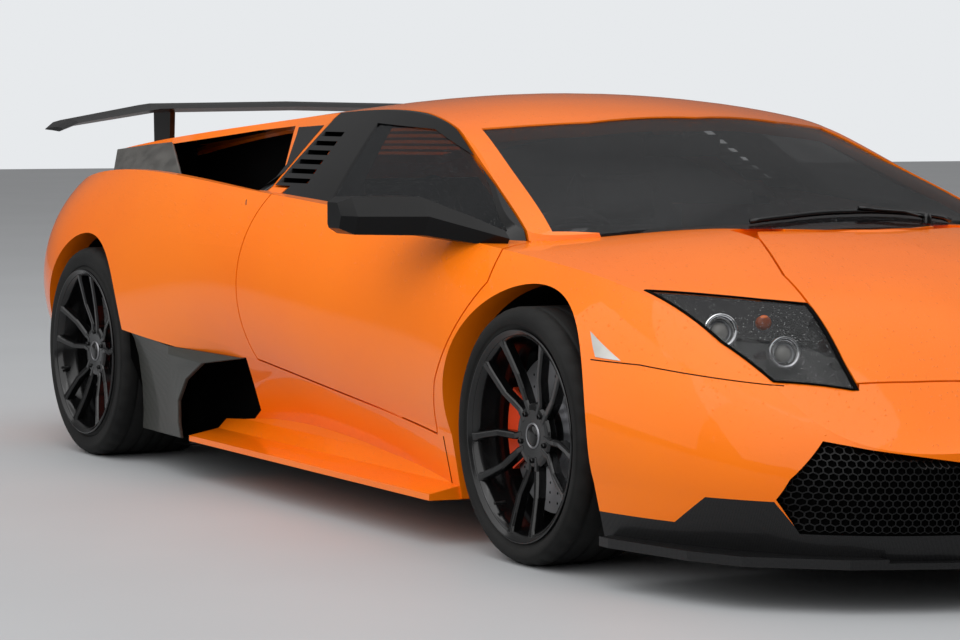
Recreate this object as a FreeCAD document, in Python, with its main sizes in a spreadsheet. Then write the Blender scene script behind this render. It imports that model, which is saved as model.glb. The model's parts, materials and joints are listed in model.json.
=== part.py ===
import FreeCAD
import Part
import Sketcher
import math
import os

# A low two-seat supercar with its engine behind the seats, in millimetres.
# X points forward, Y to the car's left and Z up, from the ground under its middle.
# Panels of the left side are made first, and the right side is their mirror image.

doc = FreeCAD.newDocument("supercar")
sheet = doc.addObject("Spreadsheet::Sheet", "sizes")

SIZES = [
    # alias, millimetres or degrees, meaning
    ("wheelbase", 2665, "front axle to rear axle"),
    ("front_overhang", 1085, "front axle to nose"),
    ("rear_overhang", 955, "rear axle to tail"),
    ("body_width", 2058, "over the rear arches, without mirrors"),
    ("roof_height", 1135, "ground to roof"),
    ("track_front", 1635, "between the front wheels' middle planes"),
    ("track_rear", 1695, "between the rear wheels' middle planes"),
    ("tyre_front_radius", 311, "standing on the ground"),
    ("tyre_rear_radius", 326, "standing on the ground"),
    ("tyre_front_width", 245, "section width"),
    ("tyre_rear_width", 335, "section width"),
    ("rim_diameter", 483, "at the bead seat, 19 inches"),
    ("rim_front_width", 216, "between the bead flanges, 8.5 inches"),
    ("rim_rear_width", 330, "between the bead flanges, 13 inches"),
    ("rim_flange", 17, "height of the flange over the bead seat"),
    ("rim_wall", 7, "thickness of the barrel"),
    ("hub_pad_radius", 84, "face of the hub in the middle of the wheel"),
    ("hub_dish", 44, "how far the hub face lies inside the flange"),
    ("hub_thick", 38, "thickness of the hub pad"),
    ("bolt_circle", 120, "diameter through the five bolts"),
    ("bolt_hole", 15, "diameter of a bolt's hole"),
    ("spoke_face", 13, "width of a spoke's leg on its face"),
    ("spoke_back", 24, "width of a spoke's leg at its back"),
    ("disc_front_radius", 190, "front brake disc"),
    ("disc_rear_radius", 178, "rear brake disc"),
    ("disc_thick", 34, "brake disc"),
    ("disc_hat_rise", 16, "face of the disc's hat over the disc"),
    ("disc_hat_wall", 8, "thickness of the disc's hat"),
    ("disc_hat_radius", 82, "hat of the disc, inside the caliper"),
    ("axle_radius", 32, "stub axle and drive shaft"),
    ("tyre_tread", 12, "thickness of the tyre under its tread"),
    ("tyre_bead", 22, "depth of the tyre's bead"),
    ("arch_front_gap", 54, "arch over the front tyre's radius, for steering"),
    ("arch_rear_gap", 46, "arch over the rear tyre's radius"),
    ("well_front_inner", 556, "inner wall of the front wheel well from the middle"),
    ("well_rear_inner", 600, "inner wall of the rear wheel well from the middle"),
    ("kingpin_inset", 42, "steering axis inside the wheel's middle plane"),
    ("side_wall", 80, "thickness of a door and of the body's side"),
    ("skin_wall", 42, "thickness of the bonnet, deck and floor"),
    ("roof_wall", 40, "thickness of the roof and its pillars"),
    ("glass_wall", 5, "thickness of the glass"),
    ("glass_drop", 4, "glass below the skin around it"),
    ("panel_gap", 6, "between a moving panel and its frame"),
    ("piece_gap", 0.3, "between pieces that seat on each other"),
    ("door_pivot_height", 775, "door hinge axis above ground"),
    ("door_pivot_ahead", 1030, "door hinge axis ahead of the origin"),
    ("door_pivot_out", 800, "where the door hinge axis is measured, from the middle"),
    ("door_lean", 11, "degrees the hinge axis tips down towards the outside"),
    ("door_reach", 1278, "hinge axis to the rear shut face"),
    ("cover_pivot_ahead", -808, "engine cover hinge ahead of the origin"),
    ("cover_pivot_height", 1070, "engine cover hinge above ground"),
    ("cover_reach", 1080, "engine cover from its hinge to its rear edge"),
    ("cover_half_width", 500, "half the width of the engine cover"),
    ("scoop_liner", 6, "thickness of the black liner in a shoulder scoop"),
    ("intake_blade", 40, "thickness of the blade over a side intake"),
    ("engine_length", 900, "engine and gearbox"),
    ("engine_width", 600, "engine"),
    ("engine_height", 581, "engine over the floor"),
    ("engine_front", 660, "front of the engine behind the origin"),
    ("seat_offset", 370, "middle of a seat from the middle of the car"),
    ("seat_width", 500, "seat over its side bolsters"),
    ("steering_wheel_radius", 178, "middle of the rim to the hub"),
    ("steering_rim_radius", 15, "thickness of the rim"),
]
for row, (alias, value, meaning) in enumerate(SIZES, 1):
    sheet.set("A%d" % row, alias)
    sheet.set("B%d" % row, str(value))
    sheet.set("C%d" % row, meaning)
    sheet.setAlias("B%d" % row, alias)
doc.recompute()


def size(alias):
    return float(sheet.get(alias))


# The body's points are written for the car as it is and follow the axles, width and height.
NOMINAL_WHEELBASE = 2665
NOMINAL_FRONT = 1085
NOMINAL_REAR = 955
NOMINAL_WIDTH = 2058
NOMINAL_HEIGHT = 1135

LENGTH = size("wheelbase") + size("front_overhang") + size("rear_overhang")
FRONT_AXLE = LENGTH / 2 - size("front_overhang")
REAR_AXLE = FRONT_AXLE - size("wheelbase")
NOMINAL_LENGTH = NOMINAL_WHEELBASE + NOMINAL_FRONT + NOMINAL_REAR
NOMINAL_FRONT_AXLE = NOMINAL_LENGTH / 2 - NOMINAL_FRONT
NOMINAL_REAR_AXLE = NOMINAL_FRONT_AXLE - NOMINAL_WHEELBASE


def along(x):
    if x > NOMINAL_FRONT_AXLE:
        return FRONT_AXLE + (x - NOMINAL_FRONT_AXLE) * size("front_overhang") / NOMINAL_FRONT
    if x < NOMINAL_REAR_AXLE:
        return REAR_AXLE + (x - NOMINAL_REAR_AXLE) * size("rear_overhang") / NOMINAL_REAR
    return REAR_AXLE + (x - NOMINAL_REAR_AXLE) * size("wheelbase") / NOMINAL_WHEELBASE


def across(y):
    return y * size("body_width") / NOMINAL_WIDTH


def up(z):
    return z * size("roof_height") / NOMINAL_HEIGHT


def point(x, y, z):
    return FreeCAD.Vector(along(x), across(y), up(z))


Y_AXIS = FreeCAD.Vector(0, 1, 0)
Z_AXIS = FreeCAD.Vector(0, 0, 1)
SIDES = (("left", 1), ("right", -1))
parts = []


def keep(label, shape):
    """Store a sub-part whose shape comes from the functions below."""
    feature = doc.addObject("Part::Feature", label)
    feature.Label = label
    feature.Shape = shape
    feature.Placement = FreeCAD.Placement()
    parts.append(feature)
    return feature


def sized(kind, name, **rules):
    """An object whose sizes follow the sheet."""
    feature = doc.addObject(kind, name)
    for field, rule in rules.items():
        feature.setExpression(field, rule)
    return feature


def turned_body(name, corners, place):
    """A body whose section is a closed outline of (radius, offset) rules, turned about Y."""
    body = doc.addObject("PartDesign::Body", name)
    section = body.newObject("Sketcher::SketchObject", name + "_section")
    plane = [item for item in body.Origin.OriginFeatures if item.Role == "XY_Plane"][0]
    section.AttachmentSupport = [(plane, "")]
    section.MapMode = "FlatFace"
    count = len(corners)
    first = []
    for number in range(count):
        turn = math.radians(360 * number / count)
        first.append(FreeCAD.Vector(300 + 50 * math.cos(turn), 50 * math.sin(turn), 0))
    for number in range(count):
        section.addGeometry(Part.LineSegment(first[number], first[(number + 1) % count]))
    for number in range(count):
        section.addConstraint(Sketcher.Constraint("Coincident", number, 2, (number + 1) % count, 1))
    for number, rules in enumerate(corners):
        for direction, rule, now in zip(("DistanceX", "DistanceY"), rules, (first[number].x, first[number].y)):
            index = section.addConstraint(Sketcher.Constraint(direction, -1, 1, number, 1, now))
            section.setExpression("Constraints[%d]" % index, rule)
    turned = body.newObject("PartDesign::Revolution", name + "_turned")
    turned.Profile = section
    turned.ReferenceAxis = (section, ["V_Axis"])
    turned.Angle = 360
    body.Placement.Base = place
    return body


def keep_mirror(name, left):
    """The left side's object as it is, and its mirror image for the right side."""
    right = doc.addObject("Part::Mirroring", name + "_right")
    right.Source = left
    right.Normal = (0, 1, 0)
    left.Label = name + "_left"
    right.Label = name + "_right"
    parts.extend([left, right])


def mirrored(shape):
    return shape.mirror(FreeCAD.Vector(0, 0, 0), Y_AXIS)


def pair(shape):
    return Part.Compound([shape, mirrored(shape)])


def keep_sides(label, shape):
    keep(label + "_left", shape)
    keep(label + "_right", mirrored(shape))


def block(x0, x1, y0, y1, z0, z1):
    low = point(x0, y0, z0)
    high = point(x1, y1, z1)
    return Part.makeBox(high.x - low.x, high.y - low.y, high.z - low.z, low)


def side_prism(outline, y0, y1):
    """Outline of (x, z) points, pushed across the car from y0 to y1."""
    points = [point(x, y0, z) for x, z in outline]
    face = Part.Face(Part.makePolygon(points + points[:1]))
    return face.extrude(FreeCAD.Vector(0, across(y1) - across(y0), 0))


def plan_prism(outline, z0, z1, rake=0):
    """Outline of (x, y) points, pushed up from z0 to z1 and forward by rake for each mm."""
    points = [point(x, y, z0) for x, y in outline]
    face = Part.Face(Part.makePolygon(points + points[:1]))
    rise = up(z1) - up(z0)
    return face.extrude(FreeCAD.Vector(rake * rise, 0, rise))


def round_bar(x, y0, y1, z, radius):
    """Cylinder across the car; x, y and z are real places, not carried by the body."""
    return Part.makeCylinder(radius, y1 - y0, FreeCAD.Vector(x, y0, z), Y_AXIS)


SCRAP = 60000


def split(shape, zone):
    """What lies inside the zone, and what is left."""
    return shape.common(zone), shape.cut(zone)


def solid_of(shape):
    """The one solid, or a compound of several, that a boolean leaves."""
    solids = [item for item in shape.Solids if item.Volume > SCRAP]
    return solids[0] if len(solids) == 1 else Part.Compound(solids)


# The lower body, from nose to tail: half sections through named points.
HULL = [
    # x, floor_y, floor_z, low_y, low_z, waist_y, waist_z, crest_y, crest_z, deck_y, deck_z, mid_z
    (2352, 150, 112, 180, 200, 182, 270, 170, 318, 90, 330, 335),
    (2300, 380, 112, 410, 200, 415, 290, 395, 348, 220, 372, 385),
    (2150, 660, 112, 690, 210, 700, 310, 650, 400, 430, 455, 480),
    (1950, 800, 112, 830, 235, 825, 400, 715, 530, 500, 592, 620),
    (1650, 900, 112, 930, 240, 930, 470, 790, 660, 480, 712, 745),
    (1267, 930, 115, 950, 250, 962, 500, 830, 725, 560, 775, 805),
    (850, 880, 118, 915, 285, 945, 560, 855, 765, 640, 775, 790),
    (200, 800, 120, 935, 350, 975, 600, 875, 822, 700, 830, 835),
    (-400, 800, 120, 965, 395, 1005, 630, 895, 858, 700, 868, 875),
    (-1397, 900, 125, 1015, 330, 1029, 560, 885, 895, 700, 902, 905),
    (-1900, 850, 150, 905, 320, 960, 560, 820, 848, 640, 868, 878),
    (-2250, 700, 215, 745, 340, 768, 560, 690, 775, 560, 822, 838),
    (-2352, 640, 260, 680, 365, 700, 560, 640, 748, 520, 795, 812),
]

# The cabin and the rear deck above it: base, cant rail and middle of each section.
CANOPY = [
    # x, base_y, base_z, cant_y, cant_z, mid_z
    (1480, 130, 690, 120, 752, 760),
    (1342, 300, 690, 290, 790, 820),
    (1150, 520, 700, 500, 800, 880),
    (996, 745, 720, 722, 782, 945),
    (650, 838, 770, 668, 915, 1055),
    (300, 850, 800, 600, 1045, 1112),
    (-50, 858, 830, 582, 1085, 1135),
    (-400, 868, 850, 572, 1080, 1127),
    (-800, 800, 865, 596, 1052, 1090),
    (-1200, 740, 870, 690, 1012, 1035),
    (-1560, 790, 860, 770, 968, 985),
    (-1950, 790, 830, 770, 915, 928),
    (-2300, 740, 780, 720, 855, 865),
]


def pulled_in(points, wall_y, wall_z):
    """Move each point of a half section inwards along its own normal."""
    moved = []
    last = len(points) - 1
    for place, (y, z) in enumerate(points):
        before = points[max(place - 1, 0)]
        after = points[min(place + 1, last)]
        step_y = after[0] - before[0]
        step_z = after[1] - before[1]
        reach = math.hypot(step_y, step_z) or 1
        shift_y = 0 if y == 0 else wall_y * step_z / reach
        shift_z = -wall_z * step_y / reach
        moved.append((max(y - shift_y, 0), z - shift_z))
    return moved


def vector(x, y, z):
    return FreeCAD.Vector(x, y, z)


def hull_section(row, wall_y, wall_z, shift):
    x, floor_y, floor_z, low_y, low_z, waist_y, waist_z, crest_y, crest_z, deck_y, deck_z, mid_z = row
    half = [(0, floor_z), (floor_y, floor_z), (low_y, low_z), (waist_y, waist_z),
            (crest_y, crest_z), (deck_y, deck_z), (0, mid_z)]
    half = [(across(y), up(z)) for y, z in half]
    half = pulled_in(half, wall_y, wall_z)
    place = along(x) + shift
    left = [vector(place, y, z) for y, z in half]
    right = [vector(place, -y, z) for y, z in half]
    edges = [
        Part.makeLine(right[1], left[1]),
        Part.makeLine(left[1], left[2]),
        Part.Arc(left[2], left[3], left[4]).toShape(),
        Part.Arc(left[4], left[5], left[6]).toShape(),
        Part.Arc(right[6], right[5], right[4]).toShape(),
        Part.Arc(right[4], right[3], right[2]).toShape(),
        Part.makeLine(right[2], right[1]),
    ]
    return Part.Wire(edges)


def canopy_section(row, wall_y, wall_z, shift):
    x, base_y, base_z, cant_y, cant_z, mid_z = row
    half = [(base_y, base_z), (cant_y, cant_z), (0, mid_z)]
    half = [(across(y), up(z)) for y, z in half]
    half = pulled_in(half, wall_y, wall_z)
    half[0] = (max(across(base_y) - wall_y, 1), up(base_z) - wall_z)
    place = along(x) + shift
    left = [vector(place, y, z) for y, z in half]
    right = [vector(place, -y, z) for y, z in half]
    edges = [
        Part.makeLine(right[0], left[0]),
        Part.makeLine(left[0], left[1]),
        Part.Arc(left[1], left[2], right[1]).toShape(),
        Part.makeLine(right[1], right[0]),
    ]
    return Part.Wire(edges)


def lofted(section, rows, wall_y, wall_z):
    """Loft through the sections; a wall pulls the two ends in as well."""
    wires = []
    for row in rows:
        shift = 0
        if row is rows[0]:
            shift = -wall_z
        elif row is rows[-1]:
            shift = wall_z
        wires.append(section(row, wall_y, wall_z, shift))
    return Part.makeLoft(wires, True, False)


SIDE_WALL = size("side_wall")
SKIN_WALL = size("skin_wall")
ROOF_WALL = size("roof_wall")
GAP = size("panel_gap")

hull_outer = lofted(hull_section, HULL, 0, 0)
hull_inner = lofted(hull_section, HULL, SIDE_WALL, SKIN_WALL)
canopy_outer = lofted(canopy_section, CANOPY, 0, 0)
canopy_inner = lofted(canopy_section, CANOPY, ROOF_WALL, ROOF_WALL)

# Behind the shoulder scoops only the middle of the deck rises above the tail.
TAIL_DECK = 540
canopy_outer = canopy_outer.cut(pair(block(-2600, -1640, TAIL_DECK, 1300, 700, 1200)))
tail_wall = block(-2600, -1640, TAIL_DECK, 1300, 700, 1200)
tail_wall = Part.makeBox(tail_wall.BoundBox.XLength + ROOF_WALL, tail_wall.BoundBox.YLength + ROOF_WALL,
                         tail_wall.BoundBox.ZLength, vector(tail_wall.BoundBox.XMin, across(TAIL_DECK) - ROOF_WALL,
                                                            tail_wall.BoundBox.ZMin))
canopy_inner = canopy_inner.cut(pair(tail_wall))
glass_top = lofted(canopy_section, CANOPY, size("glass_drop"), size("glass_drop"))
glass_under = size("glass_drop") + size("glass_wall")
glass_bottom = lofted(canopy_section, CANOPY, glass_under, glass_under)

outer = hull_outer.fuse(canopy_outer)
inner = hull_inner.fuse(canopy_inner)
shell = outer.cut(inner)
glass_sheet = glass_top.cut(glass_bottom).cut(hull_outer)

# Wheel arches, open to the ground, and the shell that they leave.
FRONT_RADIUS = size("tyre_front_radius")
REAR_RADIUS = size("tyre_rear_radius")
LINER = 6
FRONT_ARCH = FRONT_RADIUS + size("arch_front_gap")
REAR_ARCH = REAR_RADIUS + size("arch_rear_gap")
FRONT_WELL = size("well_front_inner")
REAR_WELL = size("well_rear_inner")
WIDE = across(1300)
TALL = up(1300)
FAR = along(2600)


def arch_space(axle, radius, height, inner_wall):
    tunnel = round_bar(axle, inner_wall, WIDE, height, radius)
    below = Part.makeBox(2 * radius, WIDE - inner_wall, height, vector(axle - radius, inner_wall, 0))
    return tunnel.fuse(below)


front_arch = arch_space(FRONT_AXLE, FRONT_ARCH, FRONT_RADIUS, FRONT_WELL)
rear_arch = arch_space(REAR_AXLE, REAR_ARCH, REAR_RADIUS, REAR_WELL)
arches = front_arch.fuse(rear_arch)
shell = shell.cut(pair(arches))


def grown(wire_points, amount):
    face = Part.Face(Part.makePolygon(wire_points + wire_points[:1]))
    return face.makeOffset2D(amount, join=2) if amount else face


def side_zone(outline, y0, y1, amount=0):
    face = grown([point(x, y0, z) for x, z in outline], amount)
    return face.extrude(vector(0, across(y1) - across(y0), 0))


def plan_zone(outline, z0, z1, amount=0):
    face = grown([point(x, y, z0) for x, y in outline], amount)
    return face.extrude(vector(0, 0, up(z1) - up(z0)))


def front_zone(outline, x0, x1, amount=0):
    """Outline of (y, z) points, pushed along the car from x0 to x1."""
    face = grown([point(x0, y, z) for y, z in outline], amount)
    return face.extrude(vector(along(x1) - along(x0), 0, 0))


# Doors: they swing up about an axis beside the screen that tips down to the outside.
DOOR_SIDE = [(-500, 425), (-500, 1250), (1061, 1250), (1061, 688), (866, 415), (804, 276)]
DOOR_PLAN = [(1061, 1250), (1061, 930), (1010, 800), (1000, 752), (660, 676), (330, 604),
             (100, 576), (-60, 570), (-290, 862), (-420, 1250)]
DOOR_TOP_SIDE = [(-240, 700), (-240, 872), (-335, 872), (-455, 1060), (-480, 1250), (1061, 1250), (1061, 700)]
DOOR_TOP_PLAN = [(1061, 1250), (1061, 930), (1010, 800), (1000, 752), (660, 676), (330, 604),
                 (100, 576), (-60, 570), (-480, 566), (-480, 1250)]
WINDOW = [(905, 784), (700, 882), (500, 968), (230, 1036), (-118, 1050), (26, 848)]
DOOR_PIVOT = vector(along(size("door_pivot_ahead")), across(size("door_pivot_out")),
                    up(size("door_pivot_height")))
LEAN = math.radians(size("door_lean"))
DOOR_AXIS = vector(0, math.cos(LEAN), -math.sin(LEAN))


def door_zone(amount):
    sweep_start = DOOR_PIVOT - DOOR_AXIS * WIDE
    sweep = Part.makeCylinder(size("door_reach") + amount, 3 * WIDE, sweep_start, DOOR_AXIS)
    zone = side_zone(DOOR_SIDE, 300, 1300, amount)
    zone = zone.common(plan_zone(DOOR_PLAN, 100, 1300, amount)).common(sweep)
    top = side_zone(DOOR_TOP_SIDE, 300, 1300, amount)
    return zone.fuse(top.common(plan_zone(DOOR_TOP_PLAN, 100, 1300, amount)))


# The vent behind the window is a stack of level slats between two lines that lean back.
VENT_LOW = 880
VENT_PITCH = 26
VENT_SLOT = 13
VENT_COUNT = 6
VENT_FRONT = (-166, -0.72)
VENT_BACK = (-322, -0.60)
vents = []
for number in range(VENT_COUNT):
    low = VENT_LOW + number * VENT_PITCH
    corners = []
    for (start, slope), order in ((VENT_FRONT, 1), (VENT_BACK, -1)):
        levels = [low, low + VENT_SLOT][::order]
        corners += [(start + slope * (level - VENT_LOW), level) for level in levels]
    vents.append(side_zone(corners, 300, 1300))
window_hole = side_zone(WINDOW, 300, 1300)
door_shell = shell.common(door_zone(0)).cut(window_hole)
door_lower, door_upper = split(door_shell, hull_outer)
door_upper = door_upper.cut(vents)
keep_sides("door", solid_of(door_lower))
keep_sides("door_frame", solid_of(door_upper))
door_glass = glass_sheet.common(side_zone(WINDOW, 300, 1300, -size("piece_gap")))
door_glass = door_glass.common(plan_zone(DOOR_PLAN, 100, 1300, -2))
keep_sides("door_glass", solid_of(door_glass))
shell = shell.cut(pair(door_zone(GAP)))

# Bonnet: hinged at the foot of the screen, so its front edge lifts. That edge leans back
# towards its foot, so that it comes out past the bumper.
BONNET_HALF = [(1402, 0), (1388, 150), (1330, 296), (1407, 338), (1681, 447), (1840, 484), (2031, 519),
               (2084, 523), (2400, 560)]
BONNET_LIP = [(1000, 700), (2062, 620), (2084, 523), (2113, 399), (2133, 279), (2150, 0)]
LIP_HEIGHT = 490
BONNET_RAKE = 0.5
COWL_GAP = 20


def both_halves(half):
    """A half outline that starts or ends on the middle line, made whole."""
    mirrored_half = [(x, -y) for x, y in reversed(half) if y]
    return half + mirrored_half


def bonnet_zone(amount):
    zone = plan_zone(both_halves(BONNET_HALF), 250, 1000, amount)
    foot = 250
    start = (LIP_HEIGHT - foot) * BONNET_RAKE
    lip = grown([point(x - start, y, foot) for x, y in both_halves(BONNET_LIP)], amount)
    rise = up(1000) - up(foot)
    return zone.common(lip.extrude(vector(BONNET_RAKE * rise, 0, rise)))


bonnet = shell.common(bonnet_zone(0))
cowl = [(1260, -330), (1260, 330), (1330 + COWL_GAP, 330), (1330 + COWL_GAP, 296), (1388 + COWL_GAP, 150),
        (1402 + COWL_GAP, 0), (1388 + COWL_GAP, -150), (1330 + COWL_GAP, -296), (1330 + COWL_GAP, -330)]
bonnet = bonnet.cut(plan_zone(cowl, 600, 1000))
shell = shell.cut(bonnet_zone(GAP))

# The bonnet's ears turn on pins in two beams that reach forward from the cabin's bulkhead.
BONNET_PIVOT = (1338, 762)
HINGE_PIN = 4
BEAM_Y = 240
BEAM_WIDE = 26
EAR_WIDE = 14
pivot_x = along(BONNET_PIVOT[0])
pivot_z = up(BONNET_PIVOT[1])
ear_y = across(BEAM_Y) + BEAM_WIDE + 3
HINGE_HALF = 6
ear = Part.makeBox(30, EAR_WIDE, 20, vector(pivot_x - HINGE_HALF, ear_y, pivot_z - 12))
ear = ear.cut(round_bar(pivot_x, ear_y - 1, ear_y + EAR_WIDE + 1, pivot_z, HINGE_PIN + size("piece_gap")))
bonnet = bonnet.fuse(ear).fuse(mirrored(ear))
keep("bonnet", solid_of(bonnet))
beam = block(890, 1350, BEAM_Y, BEAM_Y + BEAM_WIDE, 690, 715)
lug = Part.makeBox(14, BEAM_WIDE, pivot_z + 7 - up(700), vector(pivot_x - HINGE_HALF, across(BEAM_Y), up(700)))
beam = beam.fuse(lug).fuse(round_bar(pivot_x, across(BEAM_Y) + 2, ear_y + EAR_WIDE, pivot_z, HINGE_PIN))

# Engine cover with open louvres, hinged behind the roof.
COVER_FRONT = along(size("cover_pivot_ahead"))
COVER_PIVOT = vector(COVER_FRONT, 0, up(size("cover_pivot_height")))
COVER_HALF = across(size("cover_half_width"))
COVER_REACH = size("cover_reach")


def cover_zone(amount, front_gap):
    box = Part.makeBox(COVER_REACH + amount - front_gap, 2 * (COVER_HALF + amount), up(400),
                       vector(COVER_FRONT - COVER_REACH - amount, -COVER_HALF - amount, up(850)))
    sweep = round_bar(COVER_PIVOT.x, -WIDE, WIDE, COVER_PIVOT.z, COVER_REACH + amount)
    return box.common(sweep)


SLAT_COUNT = 5
slat_field = COVER_REACH - up(330)
slat_pitch = slat_field / SLAT_COUNT
engine_cover = shell.common(cover_zone(-GAP, 16))
for number in range(SLAT_COUNT):
    slot_x = COVER_FRONT - up(160) - number * slat_pitch
    slot = Part.makeBox(slat_pitch * 0.55, 2 * COVER_HALF * 0.76, up(400),
                        vector(slot_x - slat_pitch * 0.55, -COVER_HALF * 0.76, up(800)))
    engine_cover = engine_cover.cut(slot)
cover_ear_y = 86
cover_ear = Part.makeBox(36, EAR_WIDE, 20, vector(COVER_PIVOT.x - 30, cover_ear_y, COVER_PIVOT.z - 10))
cover_ear = cover_ear.cut(round_bar(COVER_PIVOT.x, cover_ear_y - 1, cover_ear_y + EAR_WIDE + 1, COVER_PIVOT.z,
                                    HINGE_PIN + size("piece_gap")))
engine_cover = engine_cover.fuse(cover_ear).fuse(mirrored(cover_ear))
keep("engine_cover", solid_of(engine_cover))
EAR_ROOM = 14
shell = shell.cut(cover_zone(0, -EAR_ROOM))
cover_lug = Part.makeBox(36, 20, 18, vector(COVER_PIVOT.x - 8, cover_ear_y - 24, COVER_PIVOT.z - 9))
pin_end = cover_ear_y + EAR_WIDE
cover_lug = cover_lug.fuse(round_bar(COVER_PIVOT.x, cover_ear_y - 10, pin_end, COVER_PIVOT.z, HINGE_PIN))
cover_lugs = cover_lug.fuse(mirrored(cover_lug))

# Windscreen, between the cowl, the pillars and the roof.
SCREEN = [(1440, 0), (1340, 300), (1175, 515), (1012, 694), (372, 552), (520, 300), (580, 0),
          (520, -300), (372, -552), (1012, -694), (1175, -515), (1340, -300)]
screen_zone = plan_zone(SCREEN, 700, 1300)
screen_glass = plan_zone(SCREEN, 700, 1300, -size("piece_gap"))
keep("windscreen", solid_of(glass_sheet.common(screen_glass).cut(bonnet_zone(GAP))))
shell = shell.cut(screen_zone.common(canopy_outer).cut(hull_outer))

# Headlamps, let into the wings beside the bonnet.
LAMP = [(1600, 780), (1772, 576), (1836, 480), (2084, 515), (2102, 530), (2012, 695), (1860, 742)]
lamp_zone = plan_zone(LAMP, 350, 800)
lamps, shell = split(shell, pair(lamp_zone))
keep("headlamps", solid_of(lamps))

# Shoulder scoops: an open pocket between the deck's edge and the top of the rear wing.
SCOOP = [(-362, 800), (-362, 862), (-412, 930), (-640, 1040), (-900, 1022), (-1400, 970), (-1600, 945), (-1600, 800)]
SCOOP_PLAN = [(-362, 800), (-362, 880), (-1000, 874), (-1400, 866), (-1600, 844), (-1600, 540), (-800, 540),
              (-640, 640)]


def scoop_zone(amount):
    return side_zone(SCOOP, 400, 1300, amount).common(plan_zone(SCOOP_PLAN, 700, 1300, amount))


scoop_space = scoop_zone(0)
shell = shell.cut(pair(scoop_space))

# Side intakes behind the doors: a blade stands over a duct whose mouth looks forward.
INTAKE = [(-1150, 100), (-1150, 300), (-1060, 421), (-500, 371), (-280, 387), (-384, 224), (-672, 100)]
MOUTH = [(-664, 128), (-508, 360), (-302, 374), (-392, 240), (-560, 150)]
DUCT = [(-1000, 196), (-1000, 320), (-540, 345), (-480, 340), (-600, 160)]
INTAKE_BACK = 780
DUCT_BACK = 800
intake_zone = side_zone(INTAKE, 700, 1300)
shell = shell.cut(pair(intake_zone))
blade_wall = size("intake_blade")
house_room = size("piece_gap") + LINER
duct_skin = lofted(hull_section, HULL[6:], blade_wall, blade_wall)
intake = hull_outer.common(side_zone(INTAKE, INTAKE_BACK, 1300))
intake = intake.cut(side_zone(DUCT, DUCT_BACK, 1300).common(duct_skin))
intake = intake.cut(side_zone(MOUTH, DUCT_BACK, 1300))
intake = intake.cut(arch_space(REAR_AXLE, REAR_ARCH + house_room, REAR_RADIUS, REAR_WELL))
keep("side_intakes", pair(solid_of(intake)))

# Floor, front bumper, rear bumper, sills, wings, roof and rear body share what is left.
FLOOR_TOP = 178
floor_zone = block(-2120, 1980, -760, 760, 0, FLOOR_TOP)
floor_plate, shell = split(shell, floor_zone)

BUMPER = [(1300, 0), (1300, 524), (1740, 517), (2017, 486), (2075, 492), (2150, 540), (2600, 540), (2600, 0)]
bumper_zone = side_zone(BUMPER, -1300, 1300)
GRILLE = [(130, 168), (130, 283), (403, 329), (583, 357), (663, 374), (727, 289), (745, 243), (700, 168)]
BLACK_LIP = [(1600, 0), (1600, 174), (1857, 172), (1947, 237), (2095, 238), (2125, 176), (2600, 176), (2600, 0)]
grille_zone = front_zone(GRILLE, 1990, 2600)
bumper, shell = split(shell, bumper_zone.common(block(1240, 2600, -1300, 1300, 0, 1300)))
bumper = bumper.cut(pair(grille_zone))
black_lip, bumper = split(bumper, side_zone(BLACK_LIP, -1300, 1300))
keep("front_bumper", solid_of(bumper))

REAR_SPLIT = -2150
rear_zone = block(-2600, REAR_SPLIT, -1300, 1300, 0, 760)
rear_bumper, shell = split(shell, rear_zone)
REAR_MESH = [(230, 470), (230, 620), (560, 620), (610, 560), (570, 470)]
rear_bumper = rear_bumper.cut(pair(front_zone(REAR_MESH, -2600, -2250)))
EXHAUST = [(-120, 350), (-85, 320), (85, 320), (120, 350), (85, 420), (-85, 420)]
rear_bumper = rear_bumper.cut(front_zone(EXHAUST, -2600, -2250))
TAIL_LAMP = [(360, 655), (360, 700), (560, 715), (610, 690), (590, 650)]
tail_lamps, rear_bumper = split(rear_bumper, pair(front_zone(TAIL_LAMP, -2600, -2250)))
keep("tail_lamps", solid_of(tail_lamps))
keep("rear_bumper", solid_of(rear_bumper))

SILL = [(1000, 0), (1000, 420), (830, 420), (790, 330), (-600, 430), (-700, 430), (-700, 0)]
sill_shell, shell = split(shell, pair(side_zone(SILL, 500, 1300)))
BLADE = [(740, 112), (978, 116), (978, 132), (885, 150), (850, 185), (835, 240), (740, 240)]
blade = front_zone(BLADE, -640, 895).cut(outer)
sill_shell = sill_shell.fuse(pair(solid_of(blade)))

# The closed door rests on a seal strip along the top of the sill.
SEAL_LINE = [(-100, 379.3), (600, 299.3)]
SEAL_DEEP = 9
seal = [(x, z - size("piece_gap") * 1.2) for x, z in SEAL_LINE]
seal += [(x, z - SEAL_DEEP) for x, z in reversed(SEAL_LINE)]
sill_shell = sill_shell.fuse(pair(side_zone(seal, 890, 905)))
keep("sills", solid_of(sill_shell))

roof_zone = block(-560, 1020, -1300, 1300, 700, 1300)
roof, shell = split(shell, roof_zone.cut(hull_outer))
keep("roof_frame", solid_of(roof))
wings, rear_body = split(shell, block(400, 2600, -1300, 1300, 0, 1300))
hinge_room = Part.makeBox(40, BEAM_WIDE + EAR_WIDE + 10, 50, vector(pivot_x - 12, across(BEAM_Y) - 3, pivot_z - 40))
bonnet_corner_room = block(1290, 1440, 225, 350, 777, 860)
wings = wings.cut(pair(hinge_room)).cut(pair(bonnet_corner_room))
keep("front_wings", solid_of(wings))
keep("rear_body", solid_of(rear_body.fuse(cover_lugs)))

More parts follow.
